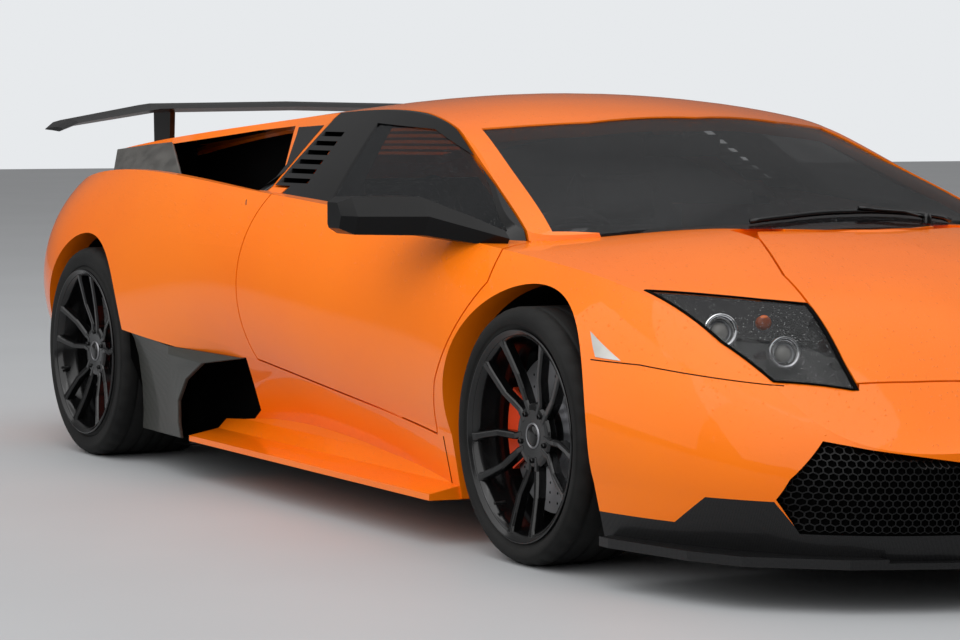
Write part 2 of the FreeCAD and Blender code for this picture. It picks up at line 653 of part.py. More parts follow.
# Floor, bulkheads and tunnel; everything inside stands on the floor's flat top.
SEAT_GAP = size("piece_gap")
tub = solid_of(floor_plate)
for x0, x1, half in ((-990, 890, 700), (890, 1900, 520), (-1500, -990, 560)):
    tub = tub.fuse(block(x0, x1, -half, half, 150, FLOOR_TOP))
tub = tub.fuse(block(868, 890, -700, 700, FLOOR_TOP, 735))
tub = tub.fuse(block(-640, -615, -700, 700, FLOOR_TOP, 790))
tub = tub.fuse(block(-640, -615, -610, 610, 780, 880))
tub = tub.fuse(block(-615, 868, -90, 90, FLOOR_TOP, 400))
tub = tub.fuse(beam).fuse(mirrored(beam))
keep("floor_tub", solid_of(tub))

# Wheel houses: an arch sheet and an inner wall, inside the body's shell.


def wheel_house(axle, radius, height, inner_wall):
    outside = round_bar(axle, inner_wall - LINER, WIDE, height, radius + LINER)
    inside = round_bar(axle, inner_wall, WIDE, height, radius)
    skirt = Part.makeBox(2 * radius, WIDE, height, vector(axle - radius, inner_wall, 0))
    house = outside.cut(inside).cut(skirt)
    house = house.common(hull_inner)
    return house.cut(Part.makeBox(WIDE * 4, WIDE, FLOOR_TOP, vector(axle - WIDE * 2, 0, 0)))


houses = [solid_of(wheel_house(FRONT_AXLE, FRONT_ARCH, FRONT_RADIUS, FRONT_WELL)),
          solid_of(wheel_house(REAR_AXLE, REAR_ARCH, REAR_RADIUS, REAR_WELL))]
keep("wheel_houses", Part.Compound(houses + [mirrored(item) for item in houses]))


# Cabin: two bucket seats, a dashboard with the column on the right, and the engine behind.
DASHBOARD = [(868, 520), (868, 738), (700, 742), (590, 712), (560, 600), (700, 480)]
SEAT = [(240, FLOOR_TOP + SEAT_GAP), (250, 330), (60, 345), (-160, 300), (-250, 330), (-470, 880), (-560, 890), (-600, 840),
        (-340, FLOOR_TOP + SEAT_GAP)]
COLUMN_TILT = math.radians(25)
COLUMN_AXIS = vector(-math.cos(COLUMN_TILT), 0, math.sin(COLUMN_TILT))
STEERING_HUB = vector(along(470), -across(size("seat_offset")), up(655))
COLUMN_RADIUS = 28
HUB_DEPTH = 50

column_start = STEERING_HUB - COLUMN_AXIS * (HUB_DEPTH / 2 + SEAT_GAP)
column = Part.makeCylinder(COLUMN_RADIUS, 180, column_start, COLUMN_AXIS * -1)
dashboard = side_prism(DASHBOARD, -690, 690).fuse(column)
keep("dashboard", solid_of(dashboard))

seat_middle = size("seat_offset")
seat_half = size("seat_width") / 2
seat = side_prism(SEAT, seat_middle - seat_half, seat_middle + seat_half)
keep("seats", pair(seat))

engine = sized("Part::Box", "engine", Length="sizes.engine_length", Width="sizes.engine_width",
               Height="sizes.engine_height")
engine_back = along(-size("engine_front")) - size("engine_length")
engine.Placement.Base = vector(engine_back, -size("engine_width") / 2, up(FLOOR_TOP) + SEAT_GAP)
parts.append(engine)

WHEEL_RING = size("steering_wheel_radius")
WHEEL_ROD = size("steering_rim_radius")
ring = Part.makeTorus(WHEEL_RING, WHEEL_ROD, STEERING_HUB, COLUMN_AXIS)
hub = Part.makeCylinder(45, HUB_DEPTH, STEERING_HUB - COLUMN_AXIS * (HUB_DEPTH / 2), COLUMN_AXIS)
steering_wheel = ring.fuse(hub)
for turn in (0, 180, 270):
    spoke = Part.makeBox(18, WHEEL_RING, 36, vector(-9, 0, -18))
    spoke.rotate(vector(0, 0, 0), vector(1, 0, 0), turn)
    spoke.rotate(vector(0, 0, 0), Y_AXIS, 25)
    spoke.translate(STEERING_HUB)
    steering_wheel = steering_wheel.fuse(spoke)
keep("steering_wheel", solid_of(steering_wheel))

# Mesh behind the nose's intakes and in the tail.
layer_outer = lofted(hull_section, HULL[:6], 30, 30)
layer_inner = lofted(hull_section, HULL[:6], 38, 38)
front_mesh = layer_outer.cut(layer_inner).common(front_zone(GRILLE, 1990, 2600, -SEAT_GAP))
keep("front_grilles", pair(solid_of(front_mesh)))
rear_mesh = front_zone(REAR_MESH, -2338, -2330, -SEAT_GAP)
keep("rear_grilles", pair(rear_mesh))

exhaust = front_zone(EXHAUST, -2350, -2100, -SEAT_GAP)
exhaust = exhaust.cut(front_zone(EXHAUST, -2400, -2050, -5)).cut(hull_outer.cut(hull_inner).cut(front_zone(EXHAUST, -2600, -2250)))
keep("exhaust", solid_of(exhaust))
scoop_wall = scoop_zone(size("scoop_liner")).common(inner).cut(scoop_space)
keep("shoulder_scoops", pair(solid_of(scoop_wall)))

# Splitter under the nose, diffuser and exhaust at the tail.
SPLITTER = [(2352, 0), (2346, 200), (2322, 430), (2232, 640), (2080, 820), (1950, 880), (1700, 935),
            (1660, 935), (1660, 780), (2000, 560), (2100, 0)]
SPLITTER_LOW = 98
HULL_FLOOR = 112
splitter = plan_prism(SPLITTER, SPLITTER_LOW, HULL_FLOOR + 8)
splitter = splitter.cut(block(-2120, 1980, -760, 760, HULL_FLOOR, 400)).cut(block(1500, 2600, 0, 560, HULL_FLOOR, 400))
splitter = splitter.cut(tub)
keep("front_splitter", solid_of(splitter.fuse([mirrored(splitter), black_lip])))

DIFFUSER = [(-1900, 112), (-2345, 190), (-2345, 300), (-1900, 300)]
DIFFUSER_HALF = 600
channel_pitch = 170
channel_half = 74
diffuser = side_prism(DIFFUSER, -DIFFUSER_HALF, DIFFUSER_HALF).cut(outer)
for number in range(-3, 4):
    middle = number * channel_pitch
    channel = block(-2400, -1960, middle - channel_half, middle + channel_half, 0, 300)
    channel.rotate(point(-1960, 0, 132), Y_AXIS, 11)
    diffuser = diffuser.cut(channel)
keep("diffuser", solid_of(diffuser))

# Rear wing: an aerofoil whose tips droop, on two uprights that follow the deck.
WING = [
    # y, lead_x, chord, mid_z, thick
    (0, -1985, 285, 1092, 32),
    (510, -1985, 285, 1084, 32),
    (795, -2010, 240, 1036, 24),
    (838, -2040, 170, 1014, 16),
]
AEROFOIL = [(0, 0), (0.08, 0.34), (0.35, 0.56), (0.7, 0.38), (1, 0.06), (1, -0.06), (0.6, -0.2), (0.2, -0.42)]


def wing_section(y, lead_x, chord, mid_z, thick):
    points = [point(lead_x - chord * part, y, mid_z + thick * lift) for part, lift in AEROFOIL]
    return Part.makePolygon(points + points[:1])


wing_rows = [(-row[0],) + tuple(row[1:]) for row in reversed(WING[1:])] + WING
blade_sections = [wing_section(*row) for row in wing_rows]
rear_wing = Part.makeLoft(blade_sections, True, True)
UPRIGHT = [(-2190, 800), (-2070, 800), (-2050, 1086), (-2200, 1086)]
upright = side_prism(UPRIGHT, 430, 448).cut(outer)
upright = max(upright.Solids, key=lambda item: item.BoundBox.ZMax)
rear_wing = rear_wing.fuse([upright, mirrored(upright)])
keep("rear_wing", solid_of(rear_wing))

# Mirrors: a deep housing on an arm that rises from the door's front corner.
MIRROR = [
    # y, back_x, front_x, low_z, high_z
    (800, 900, 985, 752, 790),
    (860, 800, 930, 758, 825),
    (950, 660, 840, 775, 872),
    (1090, 585, 720, 775, 868),
    (1118, 600, 680, 790, 855),
]
HOUSING = [(0, 0.15), (0.1, 0), (0.85, 0), (1, 0.5), (0.72, 1), (0, 1)]


def mirror_section(y, back_x, front_x, low_z, high_z):
    points = [point(back_x + (front_x - back_x) * part, y, low_z + (high_z - low_z) * rise)
              for part, rise in HOUSING]
    return Part.makePolygon(points + points[:1])


mirror_body = Part.makeLoft([mirror_section(*row) for row in MIRROR], True, True)
mirror_body = mirror_body.cut(outer)
keep_sides("door_mirror", max(mirror_body.Solids, key=lambda item: item.Volume))

# Running gear, at the wheels' real places.
FRONT_MIDDLE = size("track_front") / 2
REAR_MIDDLE = size("track_rear") / 2
RIM_RADIUS = size("rim_diameter") / 2
FLANGE = size("rim_flange")
RIM_WALL = size("rim_wall")
LIP = 8
STUB = size("axle_radius")
DISC_THICK = size("disc_thick")


def ring_of(profile, middle_x, height):
    """Turn (radius, y) points about a wheel's axis."""
    points = [vector(middle_x + radius, y, height) for radius, y in profile]
    face = Part.Face(Part.makePolygon(points + points[:1]))
    return face.revolve(vector(middle_x, 0, height), Y_AXIS, 360)


def tyre_rules(end):
    """The tyre's hollow section: outside from the right bead over the tread, then inside."""
    bead_radius = "sizes.rim_diameter / 2 + sizes.piece_gap"
    bead = "sizes.rim_%s_width / 2 - sizes.piece_gap" % end
    flange = "sizes.rim_diameter / 2 + sizes.rim_flange"
    bulge = "sizes.tyre_%s_width / 2" % end
    tread = "sizes.tyre_%s_radius" % end
    outside = [(bead_radius, bead + " - sizes.tyre_bead"), (bead_radius, bead),
               (flange + " + sizes.piece_gap", bead), (flange + " + 6", bulge + " - 4"),
               (tread + " - 38", bulge), (tread + " - 14", bulge + " - 8"), (tread, bulge + " - 26")]
    inside = [(tread + " - sizes.tyre_tread", bulge + " - 34"), (tread + " - 26", bulge + " - 18"),
              (tread + " - 40", bulge + " - 10"), (bead_radius + " + 22", bead + " - 10")]
    far_outside = [(radius, "-(%s)" % offset) for radius, offset in reversed(outside)]
    far_inside = [(radius, "-(%s)" % offset) for radius, offset in reversed(inside)]
    return outside + far_outside + far_inside + inside


def brake_disc(end, place):
    """A disc whose hat reaches out to the wheel's hub; place is the middle of its back."""
    turn = FreeCAD.Rotation(FreeCAD.Vector(1, 0, 0), -90)
    plate = sized("Part::Cylinder", "plate_" + end, Radius="sizes.disc_%s_radius" % end,
                  Height="sizes.disc_thick")
    hat = sized("Part::Cylinder", "hat_" + end, Radius="sizes.disc_hat_radius",
                Height="sizes.disc_thick + sizes.disc_hat_rise")
    hollow = sized("Part::Cylinder", "hollow_" + end, Radius="sizes.disc_hat_radius - sizes.disc_hat_wall",
                   Height="sizes.disc_thick + sizes.disc_hat_rise - sizes.disc_hat_wall")
    bore = sized("Part::Cylinder", "bore_" + end, Radius="sizes.axle_radius + sizes.piece_gap",
                 Height="sizes.disc_thick + sizes.disc_hat_rise")
    for item in (plate, hat, hollow, bore):
        item.Placement = FreeCAD.Placement(place, turn)
    solid = doc.addObject("Part::Fuse", "solid_disc_" + end)
    solid.Base = plate
    solid.Tool = hat
    room = doc.addObject("Part::Fuse", "room_disc_" + end)
    room.Base = hollow
    room.Tool = bore
    disc = doc.addObject("Part::Cut", "disc_" + end)
    disc.Base = solid
    disc.Tool = room
    return disc


def wheel(axle, middle, radius, rim_width, phase, name):
    height = radius
    half = rim_width / 2
    edge = half + LIP
    seat = RIM_RADIUS
    drop = seat - 16
    barrel = ring_of([
        (seat + FLANGE, middle + edge), (seat + FLANGE, middle + half), (seat, middle + half),
        (seat, middle + half - 24), (drop, middle + half - 44), (drop, middle - half + 44),
        (seat, middle - half + 24), (seat, middle - half), (seat + FLANGE, middle - half),
        (seat + FLANGE, middle - edge), (seat - RIM_WALL, middle - edge),
        (seat - RIM_WALL, middle - half + 26), (drop - RIM_WALL, middle - half + 46),
        (drop - RIM_WALL, middle + half - 46), (seat - RIM_WALL, middle + half - 26),
        (seat - RIM_WALL, middle + edge)], axle, height)
    face_y = middle + edge - size("hub_dish")
    back_y = face_y - size("hub_thick")
    pad = size("hub_pad_radius")
    bore = STUB + SEAT_GAP
    cap = 10
    hub = ring_of([(bore, back_y), (pad, back_y), (pad, face_y), (0, face_y),
                   (0, face_y - cap), (bore, face_y - cap)], axle, height)
    rim = barrel.fuse(hub)
    legs = []
    for number in range(5):
        for side in (-1, 1):
            sections = []
            for reach, spread, low, high in ((pad - 12, 31, back_y + 6, face_y), (128, 17, back_y + 16, face_y + 14),
                                             (seat - RIM_WALL / 2, 5.5, middle + half - 34, middle + edge)):
                turn = math.radians(72 * number + phase + side * spread)
                centre = vector(axle - reach * math.sin(turn), 0, height - reach * math.cos(turn))
                aside = vector(math.cos(turn), 0, -math.sin(turn))
                loop = []
                for shift, y in ((-size("spoke_back") / 2, low), (size("spoke_back") / 2, low),
                                 (size("spoke_face") / 2, high), (-size("spoke_face") / 2, high)):
                    corner = centre + aside * shift
                    loop.append(vector(corner.x, y, corner.z))
                sections.append(Part.makePolygon(loop + loop[:1]))
            legs.append(Part.makeLoft(sections, True, True))
    rim = rim.fuse(legs)
    bolt_ring = size("bolt_circle") / 2
    for number in range(5):
        turn = math.radians(72 * number + phase)
        place = vector(axle - bolt_ring * math.sin(turn), back_y - 1, height - bolt_ring * math.cos(turn))
        rim = rim.cut(Part.makeCylinder(size("bolt_hole") / 2, size("hub_thick") + 2, place, Y_AXIS))
    keep_sides("rim_" + name, solid_of(rim))

    keep_mirror("tyre_" + name, turned_body("tyre_" + name, tyre_rules(name), vector(axle, middle, height)))

    disc_y = back_y - SEAT_GAP
    rotor_back = disc_y - size("disc_hat_rise") - DISC_THICK
    keep_mirror("disc_" + name, brake_disc(name, vector(axle, rotor_back, height)))
    return rotor_back, face_y - cap


front_rotor, front_stub = wheel(FRONT_AXLE, FRONT_MIDDLE, FRONT_RADIUS, size("rim_front_width"), 0, "front")
rear_rotor, rear_stub = wheel(REAR_AXLE, REAR_MIDDLE, REAR_RADIUS, size("rim_rear_width"), 36, "rear")


def caliper(axle, height, disc_radius, rotor_back, turn):
    outside = disc_radius + 12
    inside = disc_radius - 78
    body = ring_of([(inside, rotor_back - 14), (outside, rotor_back - 14),
                    (outside, rotor_back + DISC_THICK + 12), (inside, rotor_back + DISC_THICK + 12)], axle, height)
    slot = ring_of([(inside - 5, rotor_back - 5), (disc_radius + 5, rotor_back - 5),
                    (disc_radius + 5, rotor_back + DISC_THICK + 5), (inside - 5, rotor_back + DISC_THICK + 5)],
                   axle, height)
    body = body.cut(slot)
    wedge = Part.makePolygon([vector(axle, 0, height), vector(axle - 400, 0, height - 230),
                              vector(axle - 400, 0, height + 230), vector(axle, 0, height)])
    sector = Part.Face(wedge).extrude(vector(0, WIDE, 0))
    sector.rotate(vector(axle, 0, height), Y_AXIS, turn)
    return body.common(sector)


# Front knuckles turn on ball pins in the suspension arms' eyes.
KINGPIN_Y = FRONT_MIDDLE - size("kingpin_inset")
PIN = 12
ARM_THICK = 20
ARM_DROP = 120
KNUCKLE_BACK = 24
knuckle_face = front_rotor - 20
low_arm = FRONT_RADIUS - ARM_DROP
high_arm = FRONT_RADIUS + ARM_DROP
knuckle = Part.makeBox(70, knuckle_face - KINGPIN_Y + KNUCKLE_BACK, high_arm - low_arm - ARM_THICK - 2 * SEAT_GAP,
                       vector(FRONT_AXLE - 35, KINGPIN_Y - KNUCKLE_BACK, low_arm + ARM_THICK / 2 + SEAT_GAP))
knuckle = knuckle.fuse(Part.makeCylinder(PIN, high_arm - low_arm + ARM_THICK, vector(FRONT_AXLE, KINGPIN_Y, low_arm - ARM_THICK / 2)))
knuckle = knuckle.fuse(round_bar(FRONT_AXLE, knuckle_face - 5, front_stub - 1, FRONT_RADIUS, STUB))
bracket_y = front_rotor - 14 - SEAT_GAP
bracket = Part.makeBox(140, bracket_y - KINGPIN_Y + 10, 60, vector(FRONT_AXLE - 150, KINGPIN_Y - 10, FRONT_RADIUS - 30))
knuckle = knuckle.fuse(bracket)
keep_sides("knuckle", solid_of(knuckle))
keep_sides("caliper_front", solid_of(caliper(FRONT_AXLE, FRONT_RADIUS, size("disc_front_radius"), front_rotor, 0)))

arms = []
for level in (low_arm, high_arm):
    arm = Part.makeBox(80, KINGPIN_Y - FRONT_WELL - SEAT_GAP, ARM_THICK,
                       vector(FRONT_AXLE - 40, FRONT_WELL + SEAT_GAP, level - ARM_THICK / 2))
    arm = arm.fuse(Part.makeCylinder(20, ARM_THICK, vector(FRONT_AXLE, KINGPIN_Y, level - ARM_THICK / 2)))
    arm = arm.cut(Part.makeCylinder(PIN + SEAT_GAP, ARM_THICK + 2, vector(FRONT_AXLE, KINGPIN_Y, level - ARM_THICK / 2 - 1)))
    arms.append(solid_of(arm))

# Rear uprights carry their arms, drive shaft and stub in one piece on each side.
rear_face = rear_rotor - 20
upright = Part.makeBox(90, 60, 260, vector(REAR_AXLE - 45, rear_face - 60, REAR_RADIUS - 130))
upright = upright.fuse(round_bar(REAR_AXLE, REAR_WELL + SEAT_GAP, rear_stub - 1, REAR_RADIUS, STUB))
for level in (REAR_RADIUS - 110, REAR_RADIUS + 110):
    upright = upright.fuse(Part.makeBox(80, rear_face - 30 - REAR_WELL - SEAT_GAP, ARM_THICK,
                                        vector(REAR_AXLE - 40, REAR_WELL + SEAT_GAP, level - ARM_THICK / 2)))
rear_bracket = Part.makeBox(140, 40, 60, vector(REAR_AXLE + 10, rear_rotor - 14 - SEAT_GAP - 40, REAR_RADIUS - 30))
upright = upright.fuse(rear_bracket)
arms.append(solid_of(upright))
keep("suspension", Part.Compound(arms + [mirrored(item) for item in arms]))
keep("calipers_rear", pair(solid_of(caliper(REAR_AXLE, REAR_RADIUS, size("disc_rear_radius"), rear_rotor, 180))))

doc.recompute()
broken = [item.Name for item in doc.Objects if "Invalid" in item.State or "Error" in item.State]
for feature in parts:
    shape = feature.Shape
    if shape.isNull() or not shape.isValid() or not shape.Solids:
        broken.append(feature.Label)
if broken:
    raise SystemExit("failed: " + ", ".join(broken))

os.makedirs("parts", exist_ok=True)
for feature in parts:
    shape = feature.Shape
    print(feature.Label, len(shape.Solids), round(shape.Volume / 1e6, 2))
    shape.exportStep("parts/%s.step" % feature.Label)
print(len(parts), "sub-parts")
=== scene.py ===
import bpy
import bmesh
import json
import math
from mathutils import Matrix, Vector
from mathutils.bvhtree import BVHTree


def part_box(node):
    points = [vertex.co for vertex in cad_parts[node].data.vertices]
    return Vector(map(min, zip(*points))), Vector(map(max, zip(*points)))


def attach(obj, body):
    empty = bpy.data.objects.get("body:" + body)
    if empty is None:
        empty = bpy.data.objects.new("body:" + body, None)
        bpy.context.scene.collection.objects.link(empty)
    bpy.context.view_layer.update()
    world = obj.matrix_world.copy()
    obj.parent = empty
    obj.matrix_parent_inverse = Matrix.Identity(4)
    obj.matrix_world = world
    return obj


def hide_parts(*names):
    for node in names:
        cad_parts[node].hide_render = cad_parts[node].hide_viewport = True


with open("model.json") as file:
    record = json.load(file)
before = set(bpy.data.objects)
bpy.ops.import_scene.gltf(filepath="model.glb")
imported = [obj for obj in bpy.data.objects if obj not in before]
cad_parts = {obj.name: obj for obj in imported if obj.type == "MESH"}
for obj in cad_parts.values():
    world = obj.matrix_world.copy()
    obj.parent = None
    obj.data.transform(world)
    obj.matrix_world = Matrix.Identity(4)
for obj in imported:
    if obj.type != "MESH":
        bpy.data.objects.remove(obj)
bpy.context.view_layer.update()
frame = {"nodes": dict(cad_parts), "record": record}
nodes = frame["nodes"]

# The camera, solved from the photograph: where it stands, which way it looks, and its lens.
CAMERA_PLACE = (7.7228, -4.5002, 1.1112)
CAMERA_AZIMUTH = 61.772
CAMERA_ELEVATION = 4.038
CAMERA_ROLL = 0.145
CAMERA_LENS = 116.11
CAMERA_SENSOR = 36.0

# Light: a sky that is dark at the horizon and pale overhead, and a few broad soft lamps.
SKY_STRENGTH = 0.9
SKY_ENDS = ((0.46, 0.12), (1.0, 1.0))
SKY_STOPS = ((0.52, 0.13), (0.68, 0.18), (0.84, 0.40), (0.92, 0.90))
SKY_BLUE = 1.01
BACKGROUND = (0.80, 0.82, 0.84, 1)
FLOOR_COLOR = (0.42, 0.43, 0.44)
FLOOR_REACH = 40
LAMP_AIM = (0, 0, 0.5)
LAMPS = [
    # name, place, size, power
    ("key", (9, -11, 10), 17.0, 1500),
    ("fill", (-5, -13, 8), 15.0, 850),
    ("top", (1, -2, 12), 10.0, 450),
    ("far", (3, 14, 9), 14.0, 450),
]

# Wheels and axles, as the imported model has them.
FRONT_AXLE = 1.2675
REAR_AXLE = -1.3975
WHEELS = [
    # name, axle, tyre radius, middle of the wheel, tyre width, bead width, turn of the spokes in degrees
    ("front", FRONT_AXLE, 0.311, 0.8175, 0.245, 0.216, 0),
    ("rear", REAR_AXLE, 0.326, 0.8475, 0.335, 0.330, 36),
]
RIM_RADIUS = 0.2415
RIM_FLANGE = 0.017
RIM_LIP = 0.008
HUB_DISH = 0.044
SIDES = (("right", -1), ("left", 1))


# Sockets of a mix node, by their places: the share, two numbers, two colours, and the mixed colour.
MIX_SHARE = 0
MIX_NUMBERS = (2, 3)
MIX_COLORS = (6, 7)
MIX_COLOR_OUT = 2

# Textures: how fine each noise is, and the span of it that counts.
MOTTLE_DETAIL = 3.0
MOTTLE_SPAN = (0.35, 0.65)
PATCH_DETAIL = 4.0
PATCH_SPAN = (0.3, 0.7)
WEAVE_SCALE = 90
WEAVE_CHECKER = 190

# Beads of rain: the slope of face that carries them, the part of a bead that domes, the least size.
DROP_SIZES = [
    # cells to a metre, share of a cell for the largest drop, height in metres, share of cells with a drop
    (95, 0.42, 0.0011, 0.45),
    (230, 0.44, 0.0005, 0.60),
]
DROP_SLOPE = (0.15, 0.55)
DROP_DOME = (1.0, 0.35)
DROP_LEAST = 0.001
BEAD_ALPHA = 0.85

PAINT = (0.93, 0.18, 0.001)
PAINT_TONES = ((0.91, 0.170, 0.001), (0.95, 0.192, 0.0015))
# Painted shade in the shoulder scoops: black over the paint on the walls above SCOOP_FLOOR that face down,
# and on the end wall that faces forward.
PAINTED_SHADE_BLACK = (0.006, 0.006, 0.006)
SCOOP_FLOOR = 0.84
SHADED_SCOOP_WALLS = [("place", "Z", "GREATER_THAN", SCOOP_FLOOR), ("place", "X", "GREATER_THAN", -1.70),
               ("place", "X", "LESS_THAN", -0.60), ("facing", "Z", "LESS_THAN", -0.5)]
SHADED_SCOOP_END = [("place", "Z", "GREATER_THAN", SCOOP_FLOOR), ("place", "X", "GREATER_THAN", -1.61),
             ("place", "X", "LESS_THAN", -1.55), ("facing", "X", "GREATER_THAN", 0.9)]


# Materials, kept by name.
LOOKS = {}


def shader_of(made):
    return made.node_tree.nodes["Principled BSDF"]


def material(name, color, roughness=0.5, metallic=0.0, **sockets):
    made = bpy.data.materials.new(name)
    made.use_nodes = True
    values = {"Base_Color": (*color, 1), "Roughness": roughness, "Metallic": metallic, **sockets}
    for key, value in values.items():
        shader_of(made).inputs[key.replace("_", " ")].default_value = value
    LOOKS[name] = made
    return made


def node(made, kind, **values):
    """Add a shader node; keys that start with in_ set its inputs, the rest its own settings."""
    added = made.node_tree.nodes.new("ShaderNode" + kind)
    for key, value in values.items():
        if key.startswith("in_"):
            added.inputs[key[3:].replace("_", " ")].default_value = value
        else:
            setattr(added, key, value)
    return added


def wire(made, source, output, target, target_input):
    made.node_tree.links.new(source.outputs[output], target.inputs[target_input])


def texture(made, kind, **values):
    """A texture over the place on the object, in metres, which moves with the piece."""
    added = node(made, "Tex" + kind, **values)
    wire(made, node(made, "TexCoord"), "Object", added, "Vector")
    return added


def remap(made, source, output, span, into=(0, 1), **values):
    """A value that runs over one span, carried into another."""
    added = node(made, "MapRange", in_From_Min=span[0], in_From_Max=span[1], in_To_Min=into[0],
                 in_To_Max=into[1], **values)
    wire(made, source, output, added, "Value")
    return added


def combine(made, operation, first, second):
    """One value out of two: the first is (node, output), the second too or a plain number."""
    added = node(made, "Math", operation=operation)
    wire(made, *first, added, 0)
    if isinstance(second, tuple):
        wire(made, *second, added, 1)
    else:
        added.inputs[1].default_value = second
    return added


def color_between(made, source, output, dark, light, span=(0, 1)):
    """Base colour from a dark tone to a light one, over a span of a value."""
    ramp = node(made, "ValToRGB")
    for stop, position, tone in zip(ramp.color_ramp.elements, span, (dark, light)):
        stop.position = position
        stop.color = (*tone, 1)
    wire(made, source, output, ramp, "Fac")
    wire(made, ramp, "Color", shader_of(made), "Base Color")


def bumped(made, source, output, strength, distance):
    """Bumps that follow a value."""
    bump = node(made, "Bump", in_Strength=strength, in_Distance=distance)
    wire(made, source, output, bump, "Height")
    wire(made, bump, "Normal", shader_of(made), "Normal")
    return bump


def tint(made, mask, color):
    """Lays a colour over the base colour where a mask is 1."""
    base = shader_of(made).inputs["Base Color"]
    mix = node(made, "Mix", data_type="RGBA")
    made.node_tree.links.new(base.links[0].from_socket, mix.inputs[MIX_COLORS[0]])
    mix.inputs[MIX_COLORS[1]].default_value = (*color, 1)
    wire(made, mask, "Value", mix, MIX_SHARE)
    made.node_tree.links.new(mix.outputs[MIX_COLOR_OUT], base)


def shade(color, share):
    return tuple(tone * share for tone in color)


def mottle(made, dark, light, scale):
    """Base colour that drifts between two tones."""
    noise = texture(made, "Noise", in_Scale=scale, in_Detail=MOTTLE_DETAIL)
    color_between(made, noise, "Fac", dark, light, MOTTLE_SPAN)


def grain(made, scale, distance, strength=0.5, kind="Noise"):
    """Fine bumps from a texture."""
    height = texture(made, kind, in_Scale=scale)
    bumped(made, height, "Distance" if kind == "Voronoi" else "Fac", strength, distance)


def rough_patches(made, low, high, scale):
    noise = texture(made, "Noise", in_Scale=scale, in_Detail=PATCH_DETAIL)
    spread = remap(made, noise, "Fac", PATCH_SPAN, (low, high))
    wire(made, spread, "Result", shader_of(made), "Roughness")


def raindrops(made, strength):
    """Beads of rain on the faces that look up; gives the mask of the small beads."""
    facing = node(made, "SeparateXYZ")
    wire(made, node(made, "NewGeometry"), "Normal", facing, "Vector")
    upward = remap(made, facing, "Z", DROP_SLOPE)
    before = None
    for cells, fill, height, share in DROP_SIZES:
        cell = texture(made, "Voronoi", in_Scale=cells, in_Randomness=1.0)
        chance = node(made, "SeparateColor")
        wire(made, cell, "Color", chance, "Color")
        reach = remap(made, chance, "Red", (1 - share, 1), (DROP_LEAST, fill))
        ratio = combine(made, "DIVIDE", (cell, "Distance"), (reach, "Result"))
        dome = remap(made, ratio, "Value", DROP_DOME, interpolation_type="SMOOTHSTEP")
        shown = combine(made, "MULTIPLY", (dome, "Result"), (upward, "Result"))
        bump = bumped(made, shown, "Value", strength, height)
        if before:
            wire(made, before, "Normal", bump, "Normal")
        before = bump
    wire(made, before, "Normal", shader_of(made), "Coat Normal")
    return shown


def paint_drop_highlights(made, drops, tone, alpha):
    """Beads of rain on glass: a paler base colour on them as painted highlight, and less clear than the dry
    glass between them.
    """
    tint(made, drops, (tone, tone, tone))
    cover = remap(made, drops, "Value", (0, 1), (alpha, max(alpha, BEAD_ALPHA)))
    wire(made, cover, "Result", shader_of(made), "Alpha")


def paint_shade_inside(made, tests):
    """Paints shade: turns the base colour black where all tests hold; a test is (what, axis, comparison,
    edge).
    """
    where = node(made, "TexCoord")
    split = {}
    for what, output in (("place", "Object"), ("facing", "Normal")):
        split[what] = node(made, "SeparateXYZ")
        wire(made, where, output, split[what], "Vector")
    mask = None
    for what, axis, comparison, edge in tests:
        test = combine(made, comparison, (split[what], axis), edge)
        mask = combine(made, "MULTIPLY", (mask, "Value"), (test, "Value")) if mask else test
    tint(made, mask, PAINTED_SHADE_BLACK)


def make_paint(name="orange_paint"):
    made = material(name, PAINT, 0.36, Coat_Weight=0.8, Coat_Roughness=0.03, Coat_IOR=1.28,
                    Specular_IOR_Level=0.15)
    mottle(made, *PAINT_TONES, 1.6)
    raindrops(made, 0.9)
    return made


def make_shaded_deck_paint():
    """Paint with painted shade: black on the inner walls of the shoulder scoops that face down, and on the
    scoop ends that face forward.
    """
    made = make_paint("shaded_deck_paint")
    paint_shade_inside(made, SHADED_SCOOP_WALLS)
    paint_shade_inside(made, SHADED_SCOOP_END)
    return made


def make_glass(name, color, alpha, drops):
    made = material(name, color, 0.02, IOR=1.45, Alpha=alpha, Specular_IOR_Level=0.4)
    mottle(made, color, shade(color, 1.3), 3.0)
    if drops:
        # Painted highlight on the rain beads: they get the paler tone given as drops.
        paint_drop_highlights(made, raindrops(made, 0.8), drops, alpha)
    return made


def make_carbon(name, dark, light, roughness):
    """Woven fibre under lacquer: two crossed sets of fine bands, changed over by a checker."""
    made = material(name, dark, roughness, Coat_Weight=0.2, Coat_Roughness=0.06, Specular_IOR_Level=0.22)
    mix = node(made, "Mix", data_type="FLOAT")
    wire(made, texture(made, "Checker", in_Scale=WEAVE_CHECKER), "Fac", mix, MIX_SHARE)
    for axis, number in zip("XY", MIX_NUMBERS):
        wire(made, texture(made, "Wave", in_Scale=WEAVE_SCALE, bands_direction=axis), "Fac", mix, number)
    color_between(made, mix, 0, dark, light)
    bumped(made, mix, 0, 0.25, 0.0004)
    return made


def make_plastic(name, color, roughness, scale=900, depth=0.0002, **sockets):
    made = material(name, color, roughness, **sockets)
    mottle(made, shade(color, 0.85), shade(color, 1.2), 7)
    grain(made, scale, depth)
    return made


def make_metal(name, color, roughness):
    made = material(name, color, roughness, 1.0)
    rough_patches(made, roughness * 0.8, roughness * 1.3, 20)
    grain(made, 300, 0.0001, 0.3)
    return made


def make_rubber():
    made = material("tyre_rubber", (0.008, 0.008, 0.008), 0.7, Specular_IOR_Level=0.2)
    mottle(made, (0.006, 0.006, 0.006), (0.011, 0.011, 0.0105), 9)
    grain(made, 700, 0.0004, 0.6)
    return made


def make_leather(name, color):
    made = material(name, color, 0.5)
    mottle(made, shade(color, 0.8), shade(color, 1.25), 5)
    grain(made, 420, 0.0005, 0.6, "Voronoi")
    return made


